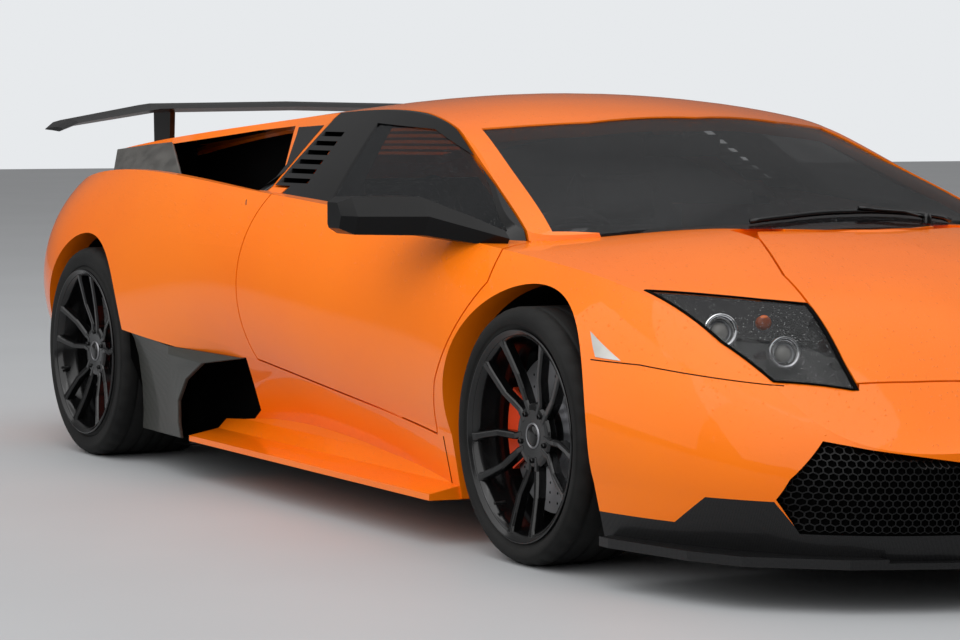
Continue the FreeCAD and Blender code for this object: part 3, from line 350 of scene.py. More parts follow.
make_paint()
make_plastic("black_trim", (0.004, 0.004, 0.0042), 0.42, Specular_IOR_Level=0.22)
make_carbon("grey_carbon", (0.024, 0.025, 0.022), (0.046, 0.047, 0.042), 0.42)
make_glass("clear_glass", (0.004, 0.005, 0.006), 0.64, 0.10)
make_glass("lamp_glass", (0.012, 0.013, 0.014), 0.42, 0.35)
make_glass("red_lens", (0.45, 0.008, 0.006), 1.0, 0)
make_plastic("black_rim", (0.003, 0.003, 0.0032), 0.16, 60, 0.00005, Specular_IOR_Level=0.45)
make_rubber()
make_metal("brake_iron", (0.32, 0.32, 0.33), 0.35)
make_plastic("orange_caliper", (0.72, 0.055, 0.01), 0.3, 200, 0.0001, Coat_Weight=0.5)
make_metal("steel", (0.25, 0.25, 0.26), 0.45)
make_leather("cabin_leather", (0.016, 0.016, 0.017))
CARBON = make_carbon("black_carbon", (0.0025, 0.0025, 0.0028), (0.008, 0.008, 0.0085), 0.36)
GLOSS_BLACK = make_plastic("gloss_black", (0.003, 0.003, 0.0032), 0.12, 40, 0.00005, Specular_IOR_Level=0.35)
MIRROR_BLACK = make_plastic("mirror_black", (0.0025, 0.0025, 0.0027), 0.28, 40, 0.00005,
                            Specular_IOR_Level=0.16)
# Deck paint with painted shade on the walls of the shoulder scoops.
SHADED_DECK_PAINT = make_shaded_deck_paint()
# Near-black and dull: the dark joints of the seams and the lamp edging, and painted shade in the grille
# backings, shoulder scoops, intake pockets and disc holes.
GAP_AND_SHADE_BLACK = make_plastic("gap_and_painted_shade", (0.0015, 0.0014, 0.0014), 0.9, Specular_IOR_Level=0.05)
CHROME = make_metal("lamp_chrome", (0.72, 0.73, 0.75), 0.12)
REFLECTOR = make_metal("lamp_reflector", (0.45, 0.46, 0.48), 0.28)
AMBER = make_plastic("amber_lens", (0.42, 0.075, 0.004), 0.25, 60, 0.0001)
LIGHT_LENS = make_plastic("light_lens", (0.46, 0.45, 0.42), 0.22, 60, 0.0001, Coat_Weight=0.6)
# Grey metal on the scoop flaps: painted reflection of the pale sky, darkened for shade, on a dark part.
FLAP_REFLECTION_GREY = make_metal("flap_reflection_grey", (0.17, 0.165, 0.155), 0.45)
PLATE_WHITE = make_plastic("blank_plate", (0.55, 0.55, 0.53), 0.4, 80, 0.0001)
# The grille backings and the shoulder scoops are near-black as painted shade in those openings; the rear body
# has painted shade on its scoop walls.
NODE_LOOKS = {
    "rear_wing": CARBON, "front_splitter": CARBON, "diffuser": CARBON,
    "door_mirror_left": MIRROR_BLACK, "door_mirror_right": MIRROR_BLACK,
    "door_frame_left": GLOSS_BLACK, "door_frame_right": GLOSS_BLACK,
    "front_grilles": GAP_AND_SHADE_BLACK, "rear_grilles": GAP_AND_SHADE_BLACK,
    "rear_body": SHADED_DECK_PAINT, "shoulder_scoops": GAP_AND_SHADE_BLACK,
}
TRIM = ("root", "black_trim")
LEATHER = (LOOKS["cabin_leather"], "root", "cabin_leather")


def dress_nodes():
    for part in frame["record"]["subparts"]:
        name = part["node"]
        mesh = nodes[name].data
        mesh.materials.clear()
        mesh.materials.append(NODE_LOOKS.get(name, LOOKS[part["material_slot"]]))


# Shapes.
def placed(name, data):
    made = bpy.data.objects.new(name, data)
    bpy.context.scene.collection.objects.link(made)
    return made


def mend(mesh, weld=0):
    """Turns the faces outward, after joining the corners that lie closer than weld."""
    shape = bmesh.new()
    shape.from_mesh(mesh)
    if weld:
        bmesh.ops.remove_doubles(shape, verts=shape.verts, dist=weld)
    bmesh.ops.recalc_face_normals(shape, faces=shape.faces)
    shape.to_mesh(mesh)
    shape.free()


def piece(name, vertices, faces, look, body, slot, smooth=True, towards=None):
    """A new mesh piece; its faces look outward, or for an open sheet towards a direction."""
    mesh = bpy.data.meshes.new(name)
    mesh.from_pydata([tuple(item) for item in vertices], [], faces)
    mesh.validate()
    if not towards:
        mend(mesh)
    elif sum(polygon.normal.dot(Vector(towards)) * polygon.area for polygon in mesh.polygons) < 0:
        mesh.flip_normals()
    mesh.materials.append(look)
    for polygon in mesh.polygons:
        polygon.use_smooth = smooth
    made = placed(name, mesh)
    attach(made, body)
    return made


def rounded(made, width, segments=3, angle=30):
    bevel = made.modifiers.new("edges", "BEVEL")
    bevel.width = width
    bevel.segments = segments
    bevel.limit_method = "ANGLE"
    bevel.angle_limit = math.radians(angle)
    made.modifiers.new("normals", "WEIGHTED_NORMAL").keep_sharp = True


def shares(rows, columns):
    """Places over a grid, row by row, as two shares from 0 to 1."""
    return [(row / (rows - 1), column / (columns - 1)) for row in range(rows) for column in range(columns)]


def grid_faces(rows, columns, close_rows=False, close_columns=False):
    """Quads between rows of points, as many to a row as there are columns."""
    faces = []
    for row in range(rows if close_rows else rows - 1):
        for column in range(columns if close_columns else columns - 1):
            after = (row + 1) % rows
            beside = (column + 1) % columns
            faces.append((row * columns + column, row * columns + beside, after * columns + beside,
                          after * columns + column))
    return faces


def grid_border(rows, columns):
    """The points round a grid: down its first column, along its last row, and back."""
    down = [row * columns for row in range(rows)]
    across = [(rows - 1) * columns + column for column in range(1, columns)]
    up = [row * columns + columns - 1 for row in reversed(range(rows - 1))]
    return down + across + up + list(reversed(range(1, columns - 1)))


def far_side(faces, start):
    """The same faces on the points from start on, looking the other way."""
    return [tuple(start + corner for corner in reversed(face)) for face in faces]


def frame_along(axis):
    axis = Vector(axis).normalized()
    aside = axis.cross(Vector((0, 0, 1)))
    if aside.length < 0.01:
        aside = Vector((1, 0, 0))
    aside.normalize()
    return axis, aside, axis.cross(aside)


def turned_shape(profile, place, axis, segments, closed=False):
    """A (radius, along) profile turned about an axis; closed joins its last ring to its first."""
    axis, aside, rise = frame_along(axis)
    points = []
    for radius, along in profile:
        for number in range(segments):
            turn = math.tau * number / segments
            spoke = (aside * math.cos(turn) + rise * math.sin(turn)) * radius
            points.append(Vector(place) + axis * along + spoke)
    return points, grid_faces(len(profile), segments, closed, True)


def turned(name, profile, place, axis, look, body, slot, segments=32):
    return piece(name, *turned_shape(profile, place, axis, segments), look, body, slot)


def many(name, shapes, look, body, slot, smooth=True):
    """Several (points, faces) shapes as one joined piece."""
    points = []
    faces = []
    for part_points, part_faces in shapes:
        start = len(points)
        points += part_points
        faces += [tuple(start + corner for corner in face) for face in part_faces]
    return piece(name, points, faces, look, body, slot, smooth)


def tube_shape(path, radius, sides=6, flat=1.0):
    """A closed tube along points; flat squashes it along its own upright."""
    points = []
    for number, place in enumerate(path):
        ahead = path[min(number + 1, len(path) - 1)]
        behind = path[max(number - 1, 0)]
        axis, aside, rise = frame_along(Vector(ahead) - Vector(behind))
        for side in range(sides):
            turn = math.tau * side / sides
            points.append(Vector(place) + (aside * math.cos(turn) + rise * math.sin(turn) * flat) * radius)
    faces = grid_faces(len(path), sides, close_columns=True)
    faces.append(tuple(reversed(range(sides))))
    faces.append(tuple(range(len(points) - sides, len(points))))
    return points, faces


def box_shape(low, high):
    xs, ys, zs = zip(low, high)
    points = [Vector((x, y, z)) for x in xs for y in ys for z in zs]
    faces = [(0, 1, 3, 2), (4, 6, 7, 5), (0, 4, 5, 1), (2, 3, 7, 6), (0, 2, 6, 4), (1, 5, 7, 3)]
    return points, faces


def caster(*names):
    """The surface of some nodes, to lay pieces on."""
    points = []
    faces = []
    for name in names:
        mesh = nodes[name].data
        start = len(points)
        points += [corner.co.copy() for corner in mesh.vertices]
        faces += [tuple(start + corner for corner in polygon.vertices) for polygon in mesh.polygons]
    return BVHTree.FromPolygons(points, faces)


# Where the lines start that meet a surface, and how far along one its nearest place is sought if it misses.
SIDE_START = 3
TOP_START = 2
MISSED_REACH = 2


def spot(surface, origin, direction):
    """Where a straight line first meets the surface, or the nearest place on it."""
    origin = Vector(origin)
    direction = Vector(direction).normalized()
    place, normal = surface.ray_cast(origin, direction)[:2]
    if place is None:
        place, normal = surface.find_nearest(origin + direction * MISSED_REACH)[:2]
    return place, normal


def from_side(surface, side, x, z):
    return spot(surface, (x, side * SIDE_START, z), (0, -side, 0))


def sampled(line, step):
    """Points along a polyline, about step apart, corners kept."""
    points = []
    for start, end in zip(line, line[1:]):
        start = Vector(start)
        end = Vector(end)
        count = max(1, round((end - start).length / step))
        points += [start.lerp(end, number / count) for number in range(count)]
    return points + [Vector(line[-1])]


def part_way(line, share):
    """The point that lies this share of the way along a polyline."""
    line = [Vector(item) for item in line]
    lengths = [(after - before).length for before, after in zip(line, line[1:])]
    reach = share * sum(lengths)
    for before, after, length in zip(line, line[1:], lengths):
        if reach <= length or after is line[-1]:
            return before.lerp(after, min(reach / length, 1))
        reach -= length


def patch(first, last, start, end, u, v):
    """A point inside four edges: first and last run along u, start and end along v."""
    low = part_way(first, u)
    high = part_way(last, u)
    left = part_way(start, v)
    right = part_way(end, v)
    corners = (Vector(first[0]) * (1 - u) * (1 - v) + Vector(first[-1]) * u * (1 - v)
               + Vector(last[0]) * (1 - u) * v + Vector(last[-1]) * u * v)
    return low * (1 - v) + high * v + left * (1 - u) + right * u - corners


def inside(outline, x, y):
    found = False
    for (x0, y0), (x1, y1) in zip(outline, outline[1:] + outline[:1]):
        if (y0 > y) != (y1 > y) and x < x0 + (y - y0) * (x1 - x0) / (y1 - y0):
            found = not found
    return found


def edge_distance(outline, x, y):
    best = 9
    here = Vector((x, y))
    for start, end in zip(outline, outline[1:] + outline[:1]):
        start = Vector(start)
        line = Vector(end) - start
        share = max(0, min(1, (here - start).dot(line) / line.length_squared))
        best = min(best, (start + line * share - here).length)
    return best


# Headlamps: a clear lens over a dark bowl, with two round lamps and a round amber lens.
LAMP_TOP = [(1.602, 0.779), (1.772, 0.578), (1.837, 0.491)]
LAMP_LOW = [(1.602, 0.779), (1.860, 0.741), (2.011, 0.694)]
LAMP_INNER = [(1.837, 0.491), (2.031, 0.527), (2.099, 0.533)]
LAMP_FRONT = [(2.011, 0.694), (2.099, 0.533)]
LENS_ROWS = 22
LENS_COLUMNS = 12
LENS_DROP = 0.0015
LAMP_CAST = 1.5
BOWL_GAP = 0.004
BOWL_DEEP = 0.062
BOWL_LEAN = (0.3, 0.25, 1)
BOWL_STEEP = 5
BOWL_CURVE = 0.6
BOWL_WAVE = 0.004
BOWL_WAVES = 3.0
EDGE_RADIUS = 0.006
EDGE_LIFT = 0.001
EDGE_FLAT = 0.45
ROUND_LAMPS = [
    # x, y, z, radius
    (1.806, 0.704, 0.592, 0.041),
    (1.915, 0.603, 0.547, 0.038),
]
ROUND_AXIS = (0.94, 0.30, 0.16)
AMBER_PLACE = (1.842, 0.608, 0.612)
AMBER_LENS = [(0.0001, 0.004), (0.008, 0.0035), (0.014, 0.001), (0.017, -0.005), (0.017, -0.020)]
LAMP_RING = [
    # share of the lamp's radius, place along its axis
    (0.62, -0.045), (0.95, -0.03), (1.0, 0.0), (0.98, 0.006), (0.92, 0.008), (0.74, 0.003), (0.68, -0.006),
]
LAMP_DISH = [(0.82, -0.004), (0.72, -0.014), (0.60, -0.020), (0.56, -0.014), (0.50, -0.016)]
BALL_ROUND = 0.54
BALL_HIGH = 0.42
BALL_BACK = 0.018
BALL_STEPS = (0, 0.3, 0.6, 0.9, 1.2, 1.45, 1.56)


def mirrored(place, side):
    return Vector((place[0], side * place[1], place[2]))


def add_headlamp(side_name, side):
    surface = caster("headlamps", "front_wings", "front_bumper", "bonnet")
    lean = mirrored(BOWL_LEAN, side).normalized()
    lens = []
    bowl = []
    for u, v in shares(LENS_ROWS, LENS_COLUMNS):
        flat = patch(LAMP_TOP, LAMP_FRONT, LAMP_LOW, LAMP_INNER, u, v)
        place, normal = spot(surface, (flat.x, side * flat.y, LAMP_CAST), (0, 0, -1))
        place = Vector((flat.x, side * flat.y, place.z))
        sink = min(1, min(u, 1 - u, v, 1 - v) * BOWL_STEEP) ** BOWL_CURVE
        wave = BOWL_WAVE * math.sin(v * (LENS_COLUMNS - 1) * BOWL_WAVES) * sink
        lens.append(place - Vector((0, 0, LENS_DROP)))
        bowl.append(place - lean * (BOWL_GAP + BOWL_DEEP * sink) - Vector((0, 0, wave)))
    faces = grid_faces(LENS_ROWS, LENS_COLUMNS)
    glass = piece("lamp_lens_" + side_name, lens, faces, LOOKS["lamp_glass"], "root", "lamp_glass",
                  towards=(0, 0, 1))
    floor = piece("lamp_bowl_" + side_name, bowl, faces, GLOSS_BLACK, *TRIM, towards=(0, 0, 1))
    border = [lens[number] + Vector((0, 0, EDGE_LIFT)) for number in grid_border(LENS_ROWS, LENS_COLUMNS)]
    edge = tube_shape(border + border[:2], EDGE_RADIUS, 6, EDGE_FLAT)
    edging = many("lamp_edge_" + side_name, [edge], GAP_AND_SHADE_BLACK, *TRIM)
    for made in (glass, floor, edging):
        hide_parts("headlamps")
    axis = mirrored(ROUND_AXIS, side)
    for number, (x, y, z, radius) in enumerate(ROUND_LAMPS):
        tag = "%s_%d" % (side_name, number)
        place = (x, side * y, z)
        ring, dish = [[(radius * share, along) for share, along in shape] for shape in (LAMP_RING, LAMP_DISH)]
        ball = [(radius * BALL_ROUND * math.cos(step), radius * BALL_HIGH * math.sin(step) - BALL_BACK)
                for step in BALL_STEPS]
        turned("lamp_ring_" + tag, ring, place, axis, CHROME, "root", "steel", 40)
        turned("lamp_dish_" + tag, dish, place, axis, REFLECTOR, "root", "steel", 40)
        turned("lamp_ball_" + tag, ball, place, axis, LIGHT_LENS, "root", "lamp_glass", 32)
    turned("lamp_amber_" + side_name, AMBER_LENS, mirrored(AMBER_PLACE, side), axis, AMBER, "root",
           "red_lens", 24)


# Honeycomb in the nose and tail openings.
COMB_WALL = 0.16
COMB_DEEP = 0.008
COMB_START = 3.0
COMB_EDGE = 0.75
COMBS = [
    # end, outline of one half as (y, z), pitch, way of the lines along X, lift
    ("front", [(0.130, 0.168), (0.130, 0.283), (0.403, 0.329), (0.583, 0.357), (0.663, 0.374), (0.727, 0.289),
               (0.745, 0.243), (0.700, 0.168)], 0.0165, -1, 0.012),
    ("rear", [(0.230, 0.470), (0.230, 0.620), (0.560, 0.620), (0.610, 0.560), (0.570, 0.470)], 0.020, 1,
     0.010),
]


def honeycomb(name, surface, side, outline, pitch, direction, lift):
    """Six-sided rings, edge to edge, laid on a surface that is met along X."""
    radius = pitch / math.sqrt(3)
    ys, zs = [sorted(values) for values in zip(*outline)]
    rows = int((zs[-1] - zs[0]) / (radius * 1.5)) + 2
    columns = int((ys[-1] - ys[0]) / pitch) + 2
    ring_faces = grid_faces(3, 6, close_columns=True)
    shapes = []
    for row in range(rows):
        for column in range(columns):
            y = ys[0] + (column + 0.5 * (row % 2)) * pitch
            z = zs[0] + row * radius * 1.5
            if not inside(outline, y, z) or edge_distance(outline, y, z) < radius * COMB_EDGE:
                continue
            place, normal = spot(surface, (-direction * COMB_START, side * y, z), (direction, 0, 0))
            points = []
            for scale, back in ((1, COMB_DEEP), (1, 0), (1 - COMB_WALL, 0)):
                for number in range(6):
                    turn = math.radians(60 * number + 30)
                    spread_y = radius * scale * math.cos(turn)
                    spread_z = radius * scale * math.sin(turn)
                    slope = -normal.y / normal.x * spread_y - normal.z / normal.x * spread_z
                    x = place.x + slope - direction * (lift - back)
                    points.append(Vector((x, side * y + spread_y, z + spread_z)))
            shapes.append((points, ring_faces))
    many(name, shapes, LOOKS["black_trim"], *TRIM, False)


def add_grilles():
    for side_name, side in SIDES:
        for end, *shape in COMBS:
            honeycomb("%s_comb_%s" % (end, side_name), caster(end + "_grilles"), side, *shape)


# Joints between fixed panels, drawn as thin dark lines let into the paint.
SEAM_RADIUS = 0.0016
SEAM_STEP = 0.015
SEAMS = [
    # name, surfaces, (x, z) points along the side
    ("bumper", ("front_bumper", "front_wings"), [(1.598, 0.5205), (1.740, 0.517), (2.030, 0.4850)]),
    ("tail", ("rear_body", "rear_bumper"), [(-2.150, 0.30), (-2.150, 0.760), (-2.336, 0.760)]),
    ("sill_front", ("sills", "front_wings"), [(0.845, 0.150), (0.845, 0.270)]),
]


def add_seams():
    for name, surfaces, line in SEAMS:
        surface = caster(*surfaces)
        for side_name, side in SIDES:
            path = [from_side(surface, side, item.x, item.y)[0] for item in sampled(line, SEAM_STEP)]
            many("seam_%s_%s" % (name, side_name), [tube_shape(path, SEAM_RADIUS, 5)], GAP_AND_SHADE_BLACK, *TRIM)


# Side markers behind the front corners.
MARKER = [(1.556, 0.582), (1.610, 0.5265), (1.688, 0.5225)]
MARKER_PROUD = 0.0015
MARKER_GRID = 10


def add_markers():
    surface = caster("front_wings", "front_bumper")
    tip, low, back = [Vector(item) for item in MARKER]
    for side_name, side in SIDES:
        points = []
        for u, v in shares(MARKER_GRID, MARKER_GRID):
            flat = tip.lerp(low, u).lerp(tip.lerp(back, u), v)
            place, normal = from_side(surface, side, flat.x, flat.y)
            points.append(place + normal * MARKER_PROUD)
        piece("side_marker_" + side_name, points, grid_faces(MARKER_GRID, MARKER_GRID), LIGHT_LENS, "root",
              "lamp_glass", towards=(0, side, 0))


# Wheels: the tyre with its grooves and the cuts in its shoulders.
TYRE_TURNS = 144
GROOVE_DEEP = 0.006
GROOVES_FRONT = (0.60, 0.20)
GROOVES_REAR = (0.66, 0.36, 0.10)
WIDE_TYRE = 0.3
SHOULDER_RINGS = (10, 11)
CUT_DEEP = 0.0045
CUT_EVERY = 4


def tyre_profile(radius, width, bead):
    """Half outline of (radius, offset from the middle), from the bead over the shoulder to the middle."""
    half = width / 2
    seat = RIM_RADIUS + 0.0005
    hook = seat + RIM_FLANGE
    wall = [(seat, bead - 0.020), (seat, bead), (hook + 0.0006, bead + 0.0005), (hook + 0.007, half - 0.010),
            (hook + 0.010, half - 0.009), (hook + 0.011, half - 0.005), (radius - 0.030, half - 0.001),
            (radius - 0.020, half - 0.002), (radius - 0.019, half - 0.006), (radius - 0.011, half - 0.008),
            (radius - 0.003, half - 0.020)]
    tread = [(radius, half - 0.030)]
    for share in GROOVES_FRONT if width < WIDE_TYRE else GROOVES_REAR:
        middle = half * share
        tread += [(radius, middle + 0.005), (radius - GROOVE_DEEP, middle + 0.004),
                  (radius - GROOVE_DEEP, middle - 0.004), (radius, middle - 0.005)]
    return wall + tread


def add_tyre(tag, axle, radius, middle, width, bead, side):
    half = tyre_profile(radius, width, bead / 2)
    profile = half + [(reach, -offset) for reach, offset in reversed(half)]
    points = []
    for ring, (full_reach, offset) in enumerate(profile):
        shoulder = min(ring, len(profile) - 1 - ring) in SHOULDER_RINGS
        for number in range(TYRE_TURNS):
            turn = math.tau * number / TYRE_TURNS
            reach = full_reach - (CUT_DEEP if shoulder and number % CUT_EVERY == 0 else 0)
            points.append(Vector((axle + reach * math.cos(turn), side * middle + offset,
                                  radius + reach * math.sin(turn))))
    tyre = piece("tyre_tread_" + tag, points, grid_faces(len(profile), TYRE_TURNS, close_columns=True),
                 LOOKS["tyre_rubber"], "wheel_" + tag, "tyre_rubber")
    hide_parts("tyre_" + tag)
    tyre.modifiers.new("normals", "WEIGHTED_NORMAL")


# Spokes: five arms, each with two legs that part near the hub and spread to the rim.
LEG_SECTIONS = [
    # reach from the axle, offset of a leg's middle, width, depth of its face behind the rim's face, thickness
    (0.050, 0.017, 0.018, 0.041, 0.024),
    (0.084, 0.019, 0.019, 0.040, 0.026),
    (0.112, 0.029, 0.021, 0.034, 0.026),
    (0.145, 0.041, 0.019, 0.026, 0.026),
    (0.190, 0.047, 0.019, 0.017, 0.026),
    (0.222, 0.050, 0.021, 0.010, 0.026),
    (0.238, 0.052, 0.028, 0.007, 0.028),
]
LEG_CREST = 0.62
LEG_SHOULDER = 0.005
LEG_TURN = 72
HUB_FACE = [(0.0001, -0.0445), (0.030, -0.0445), (0.033, -0.0435), (0.062, -0.0415), (0.074, -0.0430),
            (0.080, -0.0480), (0.081, -0.0640), (0.0001, -0.0660)]


def leg_shape(centre, turn, hand, face, side):
    """One leg of an arm: six corners to a section, with a narrower crest that catches the light."""
    points = []
    radial = Vector((-math.sin(turn), 0, -math.cos(turn)))
    aside = Vector((math.cos(turn), 0, -math.sin(turn)))
    outward = Vector((0, side, 0))
    for reach, offset, width, depth, thick in LEG_SECTIONS:
        middle = centre + radial * reach + aside * hand * offset + outward * (face - depth)
        half = width / 2
        crest = half * LEG_CREST
        for across, down in ((-half, -thick), (-half, -LEG_SHOULDER), (-crest, 0.0), (crest, 0.0),
                             (half, -LEG_SHOULDER), (half, -thick)):
            points.append(middle + aside * across + outward * down)
    faces = grid_faces(len(LEG_SECTIONS), 6, close_columns=True)
    faces += [(5, 4, 3, 2, 1, 0), tuple(range(len(points) - 6, len(points)))]
    return points, faces


def add_rim(tag, axle, radius, middle, bead, phase, side):
    centre = Vector((axle, side * middle, radius))
    face = bead / 2 + RIM_LIP
    outer = RIM_RADIUS + RIM_FLANGE
    deep = bead + 2 * RIM_LIP
    barrel = [(outer, -0.009), (outer - 0.0005, -0.001), (outer - 0.003, 0.0), (outer - 0.006, -0.0015),
              (outer - 0.010, -0.006), (RIM_RADIUS - 0.003, -0.010), (RIM_RADIUS - 0.005, -0.030),
              (RIM_RADIUS - 0.016, -0.060), (RIM_RADIUS - 0.021, -0.075),
              (RIM_RADIUS - 0.021, 0.060 - deep), (RIM_RADIUS - 0.006, 0.030 - deep), (outer - 0.004, -deep),
              (outer, 0.009 - deep), (RIM_RADIUS, 0.012 - deep), (RIM_RADIUS, 0.030 - deep),
              (RIM_RADIUS - 0.014, 0.060 - deep), (RIM_RADIUS - 0.014, -0.070), (RIM_RADIUS, -0.040),
              (RIM_RADIUS, -0.012)]
    place = centre + Vector((0, side * face, 0))
    outward = (0, side, 0)
    shapes = [turned_shape(HUB_FACE, place, outward, 60)]
    for number in range(5):
        for hand in (-1, 1):
            shapes.append(leg_shape(centre, math.radians(LEG_TURN * number + phase), hand, face, side))
    spokes = many("spokes_" + tag, shapes, LOOKS["black_rim"], "wheel_" + tag, "black_rim", False)
    rounded(spokes, 0.0016, 2, 25)
    drum = many("barrel_" + tag, [turned_shape(barrel, place, outward, 96, True)], LOOKS["black_rim"],
                "wheel_" + tag, "black_rim")
    for made in (spokes, drum):
        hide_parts("rim_" + tag)


# Bolts, cap and valve of each wheel, and dark spots of painted shade for the holes in the discs.
BOLT_RING = 0.060
BOLT_HEAD = [(0.0001, 0.004), (0.0045, 0.004), (0.0048, 0.0075), (0.0062, 0.008), (0.0072, 0.006),
             (0.0073, -0.004)]
CAP = [(0.0001, 0.0070), (0.016, 0.0066), (0.0225, 0.005), (0.0255, 0.0015), (0.0262, -0.002)]
CAP_RING = [(0.0262, 0.0), (0.0285, 0.0035), (0.0305, 0.0035), (0.032, 0.0)]
VALVE = [(0.0001, 0.030), (0.0036, 0.030), (0.0040, 0.027), (0.0040, 0.012), (0.0052, 0.010), (0.0052, 0.0)]
VALVE_REACH = RIM_RADIUS - 0.024
VALVE_TURN = 36
VALVE_PROUD = 0.006
DISC_HOLES = ((0.118, 20), (0.142, 24), (0.166, 28))
DISC_EDGE = 0.012
# Painted shade: each hole in a disc is a flat dark spot.
HOLE_SHADE_SPOT = [(0.0001, 0.0002), (0.0034, 0.0002), (0.0036, -0.0005)]
HOLE_STAGGER = 40


def hole_shade_spots(tag, axle, radius, side):
    low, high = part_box("disc_" + tag)
    surface = caster("disc_" + tag)
    shade_spots = []
    for reach, count in DISC_HOLES:
        if reach > (high[0] - low[0]) / 2 - DISC_EDGE:
            continue
        for number in range(count):
            turn = math.tau * (number + reach * HOLE_STAGGER) / count
            x = axle + reach * math.cos(turn)
            z = radius + reach * math.sin(turn)
            place, normal = from_side(surface, side, x, z)
            shade_spots.append(turned_shape(HOLE_SHADE_SPOT, (x, place.y, z), (0, side, 0), 8))
    return shade_spots


def add_wheel_details(tag, axle, radius, middle, bead, phase, side):
    body = "wheel_" + tag
    outward = (0, side, 0)
    face = side * (middle + bead / 2 + RIM_LIP - HUB_DISH)
    heads = []
    for number in range(5):
        turn = math.radians(LEG_TURN * number + phase)
        place = (axle - BOLT_RING * math.sin(turn), face, radius - BOLT_RING * math.cos(turn))
        heads.append(turned_shape(BOLT_HEAD, place, outward, 6))
    many("bolts_" + tag, heads, GLOSS_BLACK, body, "steel", False)
    turned("cap_" + tag, CAP, (axle, face, radius), outward, GLOSS_BLACK, body, "black_rim", 36)
    turned("cap_ring_" + tag, CAP_RING, (axle, face, radius), outward, LOOKS["steel"], body, "steel", 36)
    turn = math.radians(VALVE_TURN + phase)
    place = (axle - VALVE_REACH * math.sin(turn), face + side * VALVE_PROUD,
             radius - VALVE_REACH * math.cos(turn))
    turned("valve_" + tag, VALVE, place, outward, LOOKS["black_trim"], body, "black_trim", 12)
    # Dark spots on the discs: painted shade for their holes.
    many("disc_hole_shade_" + tag, hole_shade_spots(tag, axle, radius, side), GAP_AND_SHADE_BLACK, body, "brake_iron", False)


def add_wheels():
    for end, axle, radius, middle, width, bead, phase in WHEELS:
        tags = [("%s_%s" % (end, side_name), side) for side_name, side in SIDES]
        for tag, side in tags:
            add_tyre(tag, axle, radius, middle, width, bead, side)
        for tag, side in tags:
            add_rim(tag, axle, radius, middle, bead, phase, side)
            add_wheel_details(tag, axle, radius, middle, bead, phase, side)


# Wiper, inner mirror and plate.
WIPER_PATH = [(1.290, -0.289), (1.305, -0.181), (1.307, -0.005), (1.297, 0.136), (1.278, 0.331)]
WIPER_PIVOT = (1.322, 0.225)
WIPER_STEP = 0.03
BLADE_LIFT = 0.011
BLADE_TUBE = (0.0075, 8, 0.9)
ARM_TUBE = (0.0065, 8, 0.7)
ARM_END = (0.004, 0, 0.010)
ARM_BEND = 0.006
PIVOT_LIFT = 0.014
PIVOT_CAP = [(0.0001, 0.012), (0.010, 0.010), (0.012, 0.0), (0.013, -0.014)]
INNER_MIRROR = ((0.498, -0.12, 0.962), (0.516, 0.12, 1.022))
INNER_STALK = [(0.512, 0, 1.01), (0.535, 0, 1.035), (0.56, 0, 1.045)]
PLATE = ((-2.360, -0.220, 0.600), (-2.350, 0.220, 0.710))


def add_wiper():
    screen = caster("windscreen", "front_wings")
    blade = []
    for item in sampled(WIPER_PATH, WIPER_STEP):
        place, normal = spot(screen, (item.x, item.y, TOP_START), (0, 0, -1))
        blade.append(place + Vector((0, 0, BLADE_LIFT)))
    pivot, normal = spot(screen, (*WIPER_PIVOT, TOP_START), (0, 0, -1))
    pivot = pivot + Vector((0, 0, PIVOT_LIFT))
    middle = blade[len(blade) // 2] + Vector(ARM_END)
    arm = [pivot, pivot.lerp(middle, 0.35) + Vector((0, 0, ARM_BEND)), pivot.lerp(middle, 0.8), middle]
    shapes = [tube_shape(blade, *BLADE_TUBE), tube_shape(arm, *ARM_TUBE),
              turned_shape(PIVOT_CAP, pivot, (0, 0, 1), 20)]
    many("wiper", shapes, GLOSS_BLACK, *TRIM)


def add_inner_mirror():
    case = many("inner_mirror", [box_shape(*INNER_MIRROR)], LOOKS["black_trim"], *TRIM)
    rounded(case, 0.008)
    many("inner_mirror_stalk", [tube_shape(INNER_STALK, 0.008, 10)], LOOKS["black_trim"], *TRIM)


def add_plate():
    plate = many("plate", [box_shape(*PLATE)], PLATE_WHITE, *TRIM)
    rounded(plate, 0.003)


# Door mirror glass, laid on the back of each housing; it narrows towards its corners.
GLASS_GRID = (9, 15)
GLASS_HALF_WIDTH = 0.078
GLASS_HALF_HEIGHT = 0.040
GLASS_IN = 0.105
GLASS_DOWN = 0.063
GLASS_PROUD = 0.002
GLASS_START = 1


def add_mirror_glass():
    for side_name, side in SIDES:
        surface = caster("door_mirror_" + side_name)
        low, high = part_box("door_mirror_" + side_name)
        middle = max(abs(low[1]), abs(high[1])) - GLASS_IN
        points = []
        for u, v in shares(*GLASS_GRID):
            across = -1 + 2 * v
            upward = -1 + 2 * u
            width = GLASS_HALF_WIDTH * (1 - 0.10 * abs(upward) ** 3)
            height = GLASS_HALF_HEIGHT * (1 - 0.25 * abs(across) ** 4)
            start = (low[0] - GLASS_START, side * (middle + across * width),
                     high[2] - GLASS_DOWN + upward * height)
            place, normal = spot(surface, start, (1, 0, 0))
            points.append(place - Vector((GLASS_PROUD, 0, 0)))
        piece("mirror_glass_" + side_name, points, grid_faces(*GLASS_GRID), CHROME, "door_" + side_name,
              "steel", towards=(-1, 0, 0))


# The open flap behind each shoulder scoop.
FLAP = [(-1.650, 0.800, 0.955), (-1.360, 0.730, 0.985), (-1.120, 0.800, 0.880), (-1.560, 0.850, 0.882)]
FLAP_THICK = 0.008
FLAP_DROP = 0.4


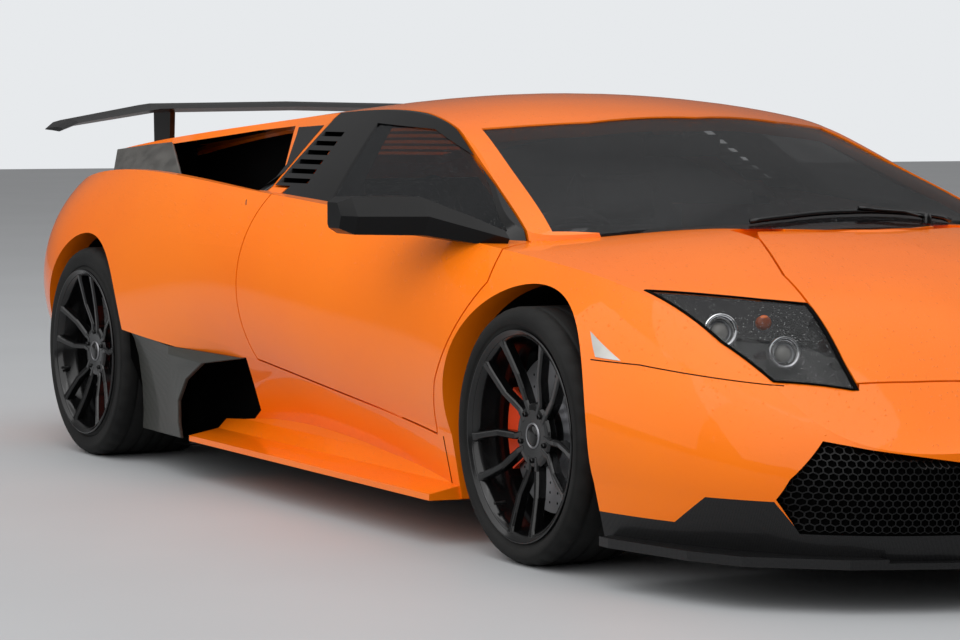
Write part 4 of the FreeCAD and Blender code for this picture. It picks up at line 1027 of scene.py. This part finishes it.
def add_flaps():
    for side_name, side in SIDES:
        outer = [mirrored(item, side) for item in FLAP]
        inner = [item + Vector((0, -side * FLAP_THICK, -FLAP_THICK * FLAP_DROP)) for item in outer]
        count = len(outer)
        faces = [tuple(range(count)), tuple(reversed(range(count, 2 * count)))]
        faces += grid_faces(2, count, close_columns=True)
        # The flap's grey is painted reflection.
        flap = piece("scoop_flap_" + side_name, outer + inner, faces, FLAP_REFLECTION_GREY, *TRIM)
        rounded(flap, 0.003)


# Dark skin between each scoop and the slatted vent beside the window.
VENT_SKIN_BACK = [(-0.362, 0.868), (-0.412, 0.930), (-0.648, 1.033)]
VENT_SKIN_FRONT = [(-0.335, 0.868), (-0.386, 0.935), (-0.470, 1.040)]
SKIN_PROUD = 0.0012
SKIN_LIFT = (0, 0.6, 0.8)
SKIN_GRID = (14, 6)


def add_vent_skins():
    surface = caster("rear_body", "roof_frame")
    for side_name, side in SIDES:
        points = []
        for u, v in shares(*SKIN_GRID):
            flat = part_way(VENT_SKIN_BACK, u).lerp(part_way(VENT_SKIN_FRONT, u), v)
            place, normal = from_side(surface, side, flat.x, flat.y)
            points.append(place + mirrored(SKIN_LIFT, side) * SKIN_PROUD)
        piece("vent_skin_" + side_name, points, grid_faces(*SKIN_GRID), GLOSS_BLACK, *TRIM,
              towards=(0, side, 1))


# Side intakes: a pocket in the body, near-black as painted shade in the opening, and a proud grey blade over
# its rear part.
POCKET = [(-1.060, 0.421), (-0.500, 0.371), (-0.280, 0.387), (-0.384, 0.224), (-0.672, 0.100),
          (-1.090, 0.100), (-1.045, 0.300)]
POCKET_BACK = 0.795
POCKET_SETBACK = 0.004
POCKET_STEP = 0.03
BLADE_THICK = 0.012
BLADE_DROP = 0.002
BLADE_PROUD = 0.002
BLADE = [
    # rear, crease and leading points of each row, as (x, y, z)
    [(-1.048, None, 0.419), (-0.740, None, 0.390), (-0.300, None, 0.384)],
    [(-1.040, 0.990, 0.392), (-0.745, 1.000, 0.365), (-0.490, 1.002, 0.357)],
    [(-1.034, 0.978, 0.340), (-0.765, 0.990, 0.325), (-0.605, 1.004, 0.302)],
    [(-1.036, 0.965, 0.250), (-0.800, 0.978, 0.245), (-0.668, 1.002, 0.234)],
    [(-1.052, 0.955, 0.170), (-0.822, 0.972, 0.175), (-0.672, 1.000, 0.170)],
    [(-1.076, 0.948, 0.112), (-0.832, 0.968, 0.116), (-0.660, 0.998, 0.124)],
]


def pocket_shape(hull, side):
    """The rim of the opening on the hull, joined to its flat back."""
    rim = []
    for item in sampled(POCKET + POCKET[:1], POCKET_STEP)[:-1]:
        place, normal = from_side(hull, side, item.x, item.y)
        rim.append(Vector((item.x, place.y - side * POCKET_SETBACK, item.y)))
    back = [Vector((item.x, side * POCKET_BACK, item.z)) for item in rim]
    faces = grid_faces(2, len(rim), close_columns=True)
    faces.append(tuple(range(len(rim), 2 * len(rim))))
    return rim + back, faces


def blade_shape(hull, side):
    """A sheet of three points to a row, made solid; points with no y lie on the hull."""
    points = []
    for x, y, z in [item for row in BLADE for item in row]:
        if y is None:
            place, normal = from_side(hull, side, x, z)
            points.append(Vector((x, place.y + side * BLADE_PROUD, z)))
        else:
            points.append(Vector((x, side * y, z)))
    start = len(points)
    inner = [item + Vector((0, -side * BLADE_THICK, -BLADE_DROP)) for item in points]
    faces = grid_faces(len(BLADE), 3)
    faces += far_side(faces, start)
    border = grid_border(len(BLADE), 3)
    border = border[:1] + border[:0:-1]
    faces += [(here, after, start + after, start + here)
              for here, after in zip(border, border[1:] + border[:1])]
    return points + inner, faces


def add_side_intakes():
    hull = caster("rear_body", "sills", "door_left", "door_right", "side_intakes")
    for side_name, side in SIDES:
        # The pocket's near-black colour is painted shade in the intake opening.
        pocket = piece("intake_pocket_" + side_name, *pocket_shape(hull, side), GAP_AND_SHADE_BLACK, *TRIM, False,
                       towards=(0, side, 0))
        blade = piece("intake_blade_" + side_name, *blade_shape(hull, side), LOOKS["grey_carbon"], "root",
                      "grey_carbon")
        rounded(blade, 0.003, 2, 22)
        for made in (pocket, blade):
            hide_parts("side_intakes")


# Black strip under each sill's edge.
STRIP_STEPS = 40
STRIP_REAR = -0.655
STRIP_LONG = 1.50
STRIP_CAST = 0.138
STRIP_SETBACK = 0.003
STRIP = ((0, 0.132), (0.004, 0.106), (0.030, 0.106), (0.030, 0.132))


def add_sill_strips():
    surface = caster("sills")
    for side_name, side in SIDES:
        points = []
        for number in range(STRIP_STEPS):
            x = STRIP_REAR + STRIP_LONG * number / (STRIP_STEPS - 1)
            place, normal = from_side(surface, side, x, STRIP_CAST)
            y = place.y - side * STRIP_SETBACK
            points += [Vector((x, y - side * inward, z)) for inward, z in STRIP]
        faces = grid_faces(STRIP_STEPS, 4, close_columns=True)
        faces += [(0, 1, 2, 3), tuple(range(len(points) - 4, len(points)))]
        piece("sill_strip_" + side_name, points, faces, LOOKS["black_trim"], *TRIM, False)


# Cabin: bucket seats in leather, and a hood over the instruments.
SEAT_MIDDLE = 0.370
PADS = [
    # name, start (x, z), end (x, z), offset from the middle, width, thickness, channels
    ("cushion", (-0.215, 0.318), (0.236, 0.334), 0.0, 0.330, 0.045, 3),
    ("cushion_bolster_in", (-0.200, 0.328), (0.215, 0.345), -0.200, 0.090, 0.075, 0),
    ("cushion_bolster_out", (-0.200, 0.328), (0.215, 0.345), 0.200, 0.090, 0.075, 0),
    ("back", (-0.268, 0.350), (-0.428, 0.740), 0.0, 0.320, 0.045, 4),
    ("back_bolster_in", (-0.272, 0.370), (-0.408, 0.700), -0.195, 0.095, 0.085, 0),
    ("back_bolster_out", (-0.272, 0.370), (-0.408, 0.700), 0.195, 0.095, 0.085, 0),
    ("headrest", (-0.432, 0.752), (-0.478, 0.868), 0.0, 0.250, 0.050, 0),
]
SHELL = [(0.250, 0.300), (0.060, 0.296), (-0.170, 0.262), (-0.300, 0.300), (-0.400, 0.560), (-0.490, 0.790),
         (-0.520, 0.872)]
SHELL_WIDTHS = (0.215, 0.235, 0.240, 0.240, 0.235, 0.190, 0.130)
PAD_GRID = (25, 17)
PAD_UNDER = 0.012
PAD_TAPER = 0.04
PAD_WELD = 0.0004
CHANNEL_DEEP = 0.010
CHANNEL_NARROW = 14
CHANNEL_END = 0.9
SHELL_COLUMNS = 9
SHELL_LIP = 0.055
SHELL_LEAN = (0.7, 0.6)
SHELL_THICK = 0.008


def add_pad(name, start, end, middle, width, thickness, channels):
    low = Vector((start[0], 0, start[1]))
    high = Vector((end[0], 0, end[1]))
    along = (high - low).normalized()
    across = Vector((0, 1, 0))
    out = along.cross(across)
    if out.z < 0 or (abs(along.x) < 0.7 and out.x < 0):
        out = -out
    points = []
    for top in (True, False):
        for u, v in [(-1 + 2 * u, -1 + 2 * v) for u, v in shares(*PAD_GRID)]:
            crown = max(0, (1 - abs(u) ** 5) * (1 - abs(v) ** 4)) ** 0.5
            groove = 0
            if channels and abs(v) < CHANNEL_END:
                phase = ((u + 1) * (channels + 1) / 2 + 0.5) % 1 - 0.5
                groove = CHANNEL_DEEP * max(0, 1 - abs(phase * CHANNEL_NARROW))
            height = (thickness - groove) * crown if top else -PAD_UNDER * crown
            aside = middle + v * width / 2 * (1 - PAD_TAPER * u * u)
            points.append(low + (high - low) * (u + 1) / 2 + across * aside + out * height)
    faces = grid_faces(*PAD_GRID)
    made = piece(name, points, faces + far_side(faces, len(points) // 2), *LEATHER)
    mend(made.data, PAD_WELD)
    made.modifiers.new("smooth", "SUBSURF").render_levels = 1
    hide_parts("seats")


def add_seats():
    for side_name, side in SIDES:
        middle = side * SEAT_MIDDLE
        for name, start, end, offset, *sizes in PADS:
            add_pad("seat_%s_%s" % (name, side_name), start, end, middle + offset, *sizes)
        points = []
        for (x, z), half in zip(SHELL, SHELL_WIDTHS):
            for column in range(SHELL_COLUMNS):
                v = -1 + 2 * column / (SHELL_COLUMNS - 1)
                lip = SHELL_LIP * abs(v) ** 5
                points.append(Vector((x + lip * SHELL_LEAN[0], middle + v * half, z + lip * SHELL_LEAN[1])))
        shell = piece("seat_shell_" + side_name, points, grid_faces(len(SHELL), SHELL_COLUMNS), CARBON,
                      *TRIM, towards=(1, 0, 1))
        shell.modifiers.new("round", "SUBSURF").render_levels = 2
        shell.modifiers.new("thick", "SOLIDIFY").thickness = SHELL_THICK
        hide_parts("seats")


HOOD_GRID = (9, 13)
HOOD_REAR = (0.585, -0.370, 0.715)
HOOD_LONG = 0.22
HOOD_HALF_WIDTH = 0.175
HOOD_HIGH = 0.075


def add_hood():
    points = []
    for u, v in shares(*HOOD_GRID):
        turn = math.pi * v
        aside = HOOD_HALF_WIDTH * math.cos(turn) * (1 - 0.1 * u)
        rise = HOOD_HIGH * math.sin(turn) * (1 - 0.35 * u ** 2)
        points.append(Vector(HOOD_REAR) + Vector((HOOD_LONG * u, aside, rise)))
    hood = piece("instrument_hood", points, grid_faces(*HOOD_GRID), *LEATHER, towards=(0, 0, 1))
    hood.modifiers.new("thick", "SOLIDIFY").thickness = SHELL_THICK


# Camera, light and floor.
def add_camera():
    azimuth = math.radians(CAMERA_AZIMUTH)
    elevation = math.radians(CAMERA_ELEVATION)
    back = Vector((math.sin(azimuth) * math.cos(elevation), -math.cos(azimuth) * math.cos(elevation),
                   math.sin(elevation)))
    right = Vector((math.cos(azimuth), math.sin(azimuth), 0))
    up = back.cross(right)
    turn = Matrix((right, up, back)).transposed() @ Matrix.Rotation(math.radians(CAMERA_ROLL), 3, "Z")
    data = bpy.data.cameras.new("camera")
    data.lens = CAMERA_LENS
    data.sensor_width = CAMERA_SENSOR
    camera = placed("camera", data)
    camera.matrix_world = Matrix.Translation(CAMERA_PLACE) @ turn.to_4x4()
    bpy.context.scene.camera = camera


def add_sky():
    world = bpy.data.worlds.new("world")
    bpy.context.scene.world = world
    world.use_nodes = True
    split = node(world, "SeparateXYZ")
    wire(world, node(world, "TexCoord"), "Generated", split, "Vector")
    ramp = node(world, "ValToRGB")
    wire(world, remap(world, split, "Z", (-1, 1)), "Result", ramp, "Fac")
    stops = ramp.color_ramp.elements
    for stop, (position, tone) in zip(stops, SKY_ENDS):
        stop.position = position
        stop.color = (tone, tone, tone, 1)
    for position, tone in SKY_STOPS:
        stops.new(position).color = (tone, tone, tone * SKY_BLUE, 1)
    sky = world.node_tree.nodes["Background"]
    sky.inputs["Strength"].default_value = SKY_STRENGTH
    wire(world, ramp, "Color", sky, "Color")
    plain = node(world, "Background", in_Color=BACKGROUND)
    ray = node(world, "LightPath")
    mix = node(world, "MixShader")
    wire(world, ray, "Is Camera Ray", mix, 0)
    wire(world, sky, "Background", mix, 1)
    wire(world, plain, "Background", mix, 2)
    wire(world, mix, "Shader", world.node_tree.nodes["World Output"], "Surface")


def add_stage():
    add_sky()
    mesh = bpy.data.meshes.new("floor")
    corners = [(x * FLOOR_REACH, y * FLOOR_REACH, 0) for x, y in ((-1, -1), (1, -1), (1, 1), (-1, 1))]
    mesh.from_pydata(corners, [], [(0, 1, 2, 3)])
    floor = placed("floor", mesh)
    mesh.materials.append(make_floor())
    for name, place, size, power in LAMPS:
        data = bpy.data.lights.new(name, "AREA")
        data.size = size
        data.energy = power
        lamp = placed(name, data)
        lamp.location = place
        lamp.rotation_euler = (Vector(LAMP_AIM) - Vector(place)).to_track_quat("-Z", "Y").to_euler()


def make_floor():
    made = material("floor_paint", FLOOR_COLOR, 0.6)
    mottle(made, shade(FLOOR_COLOR, 0.98), shade(FLOOR_COLOR, 1.02), 0.8)
    return made


add_camera()
add_stage()
dress_nodes()
for side_name, side in SIDES:
    add_headlamp(side_name, side)
add_grilles()
add_seams()
add_markers()
add_wheels()
add_wiper()
add_inner_mirror()
add_plate()
add_mirror_glass()
add_flaps()
add_vent_skins()
add_side_intakes()
add_sill_strips()
add_seats()
add_hood()
bpy.context.scene.view_settings.view_transform = "Standard"
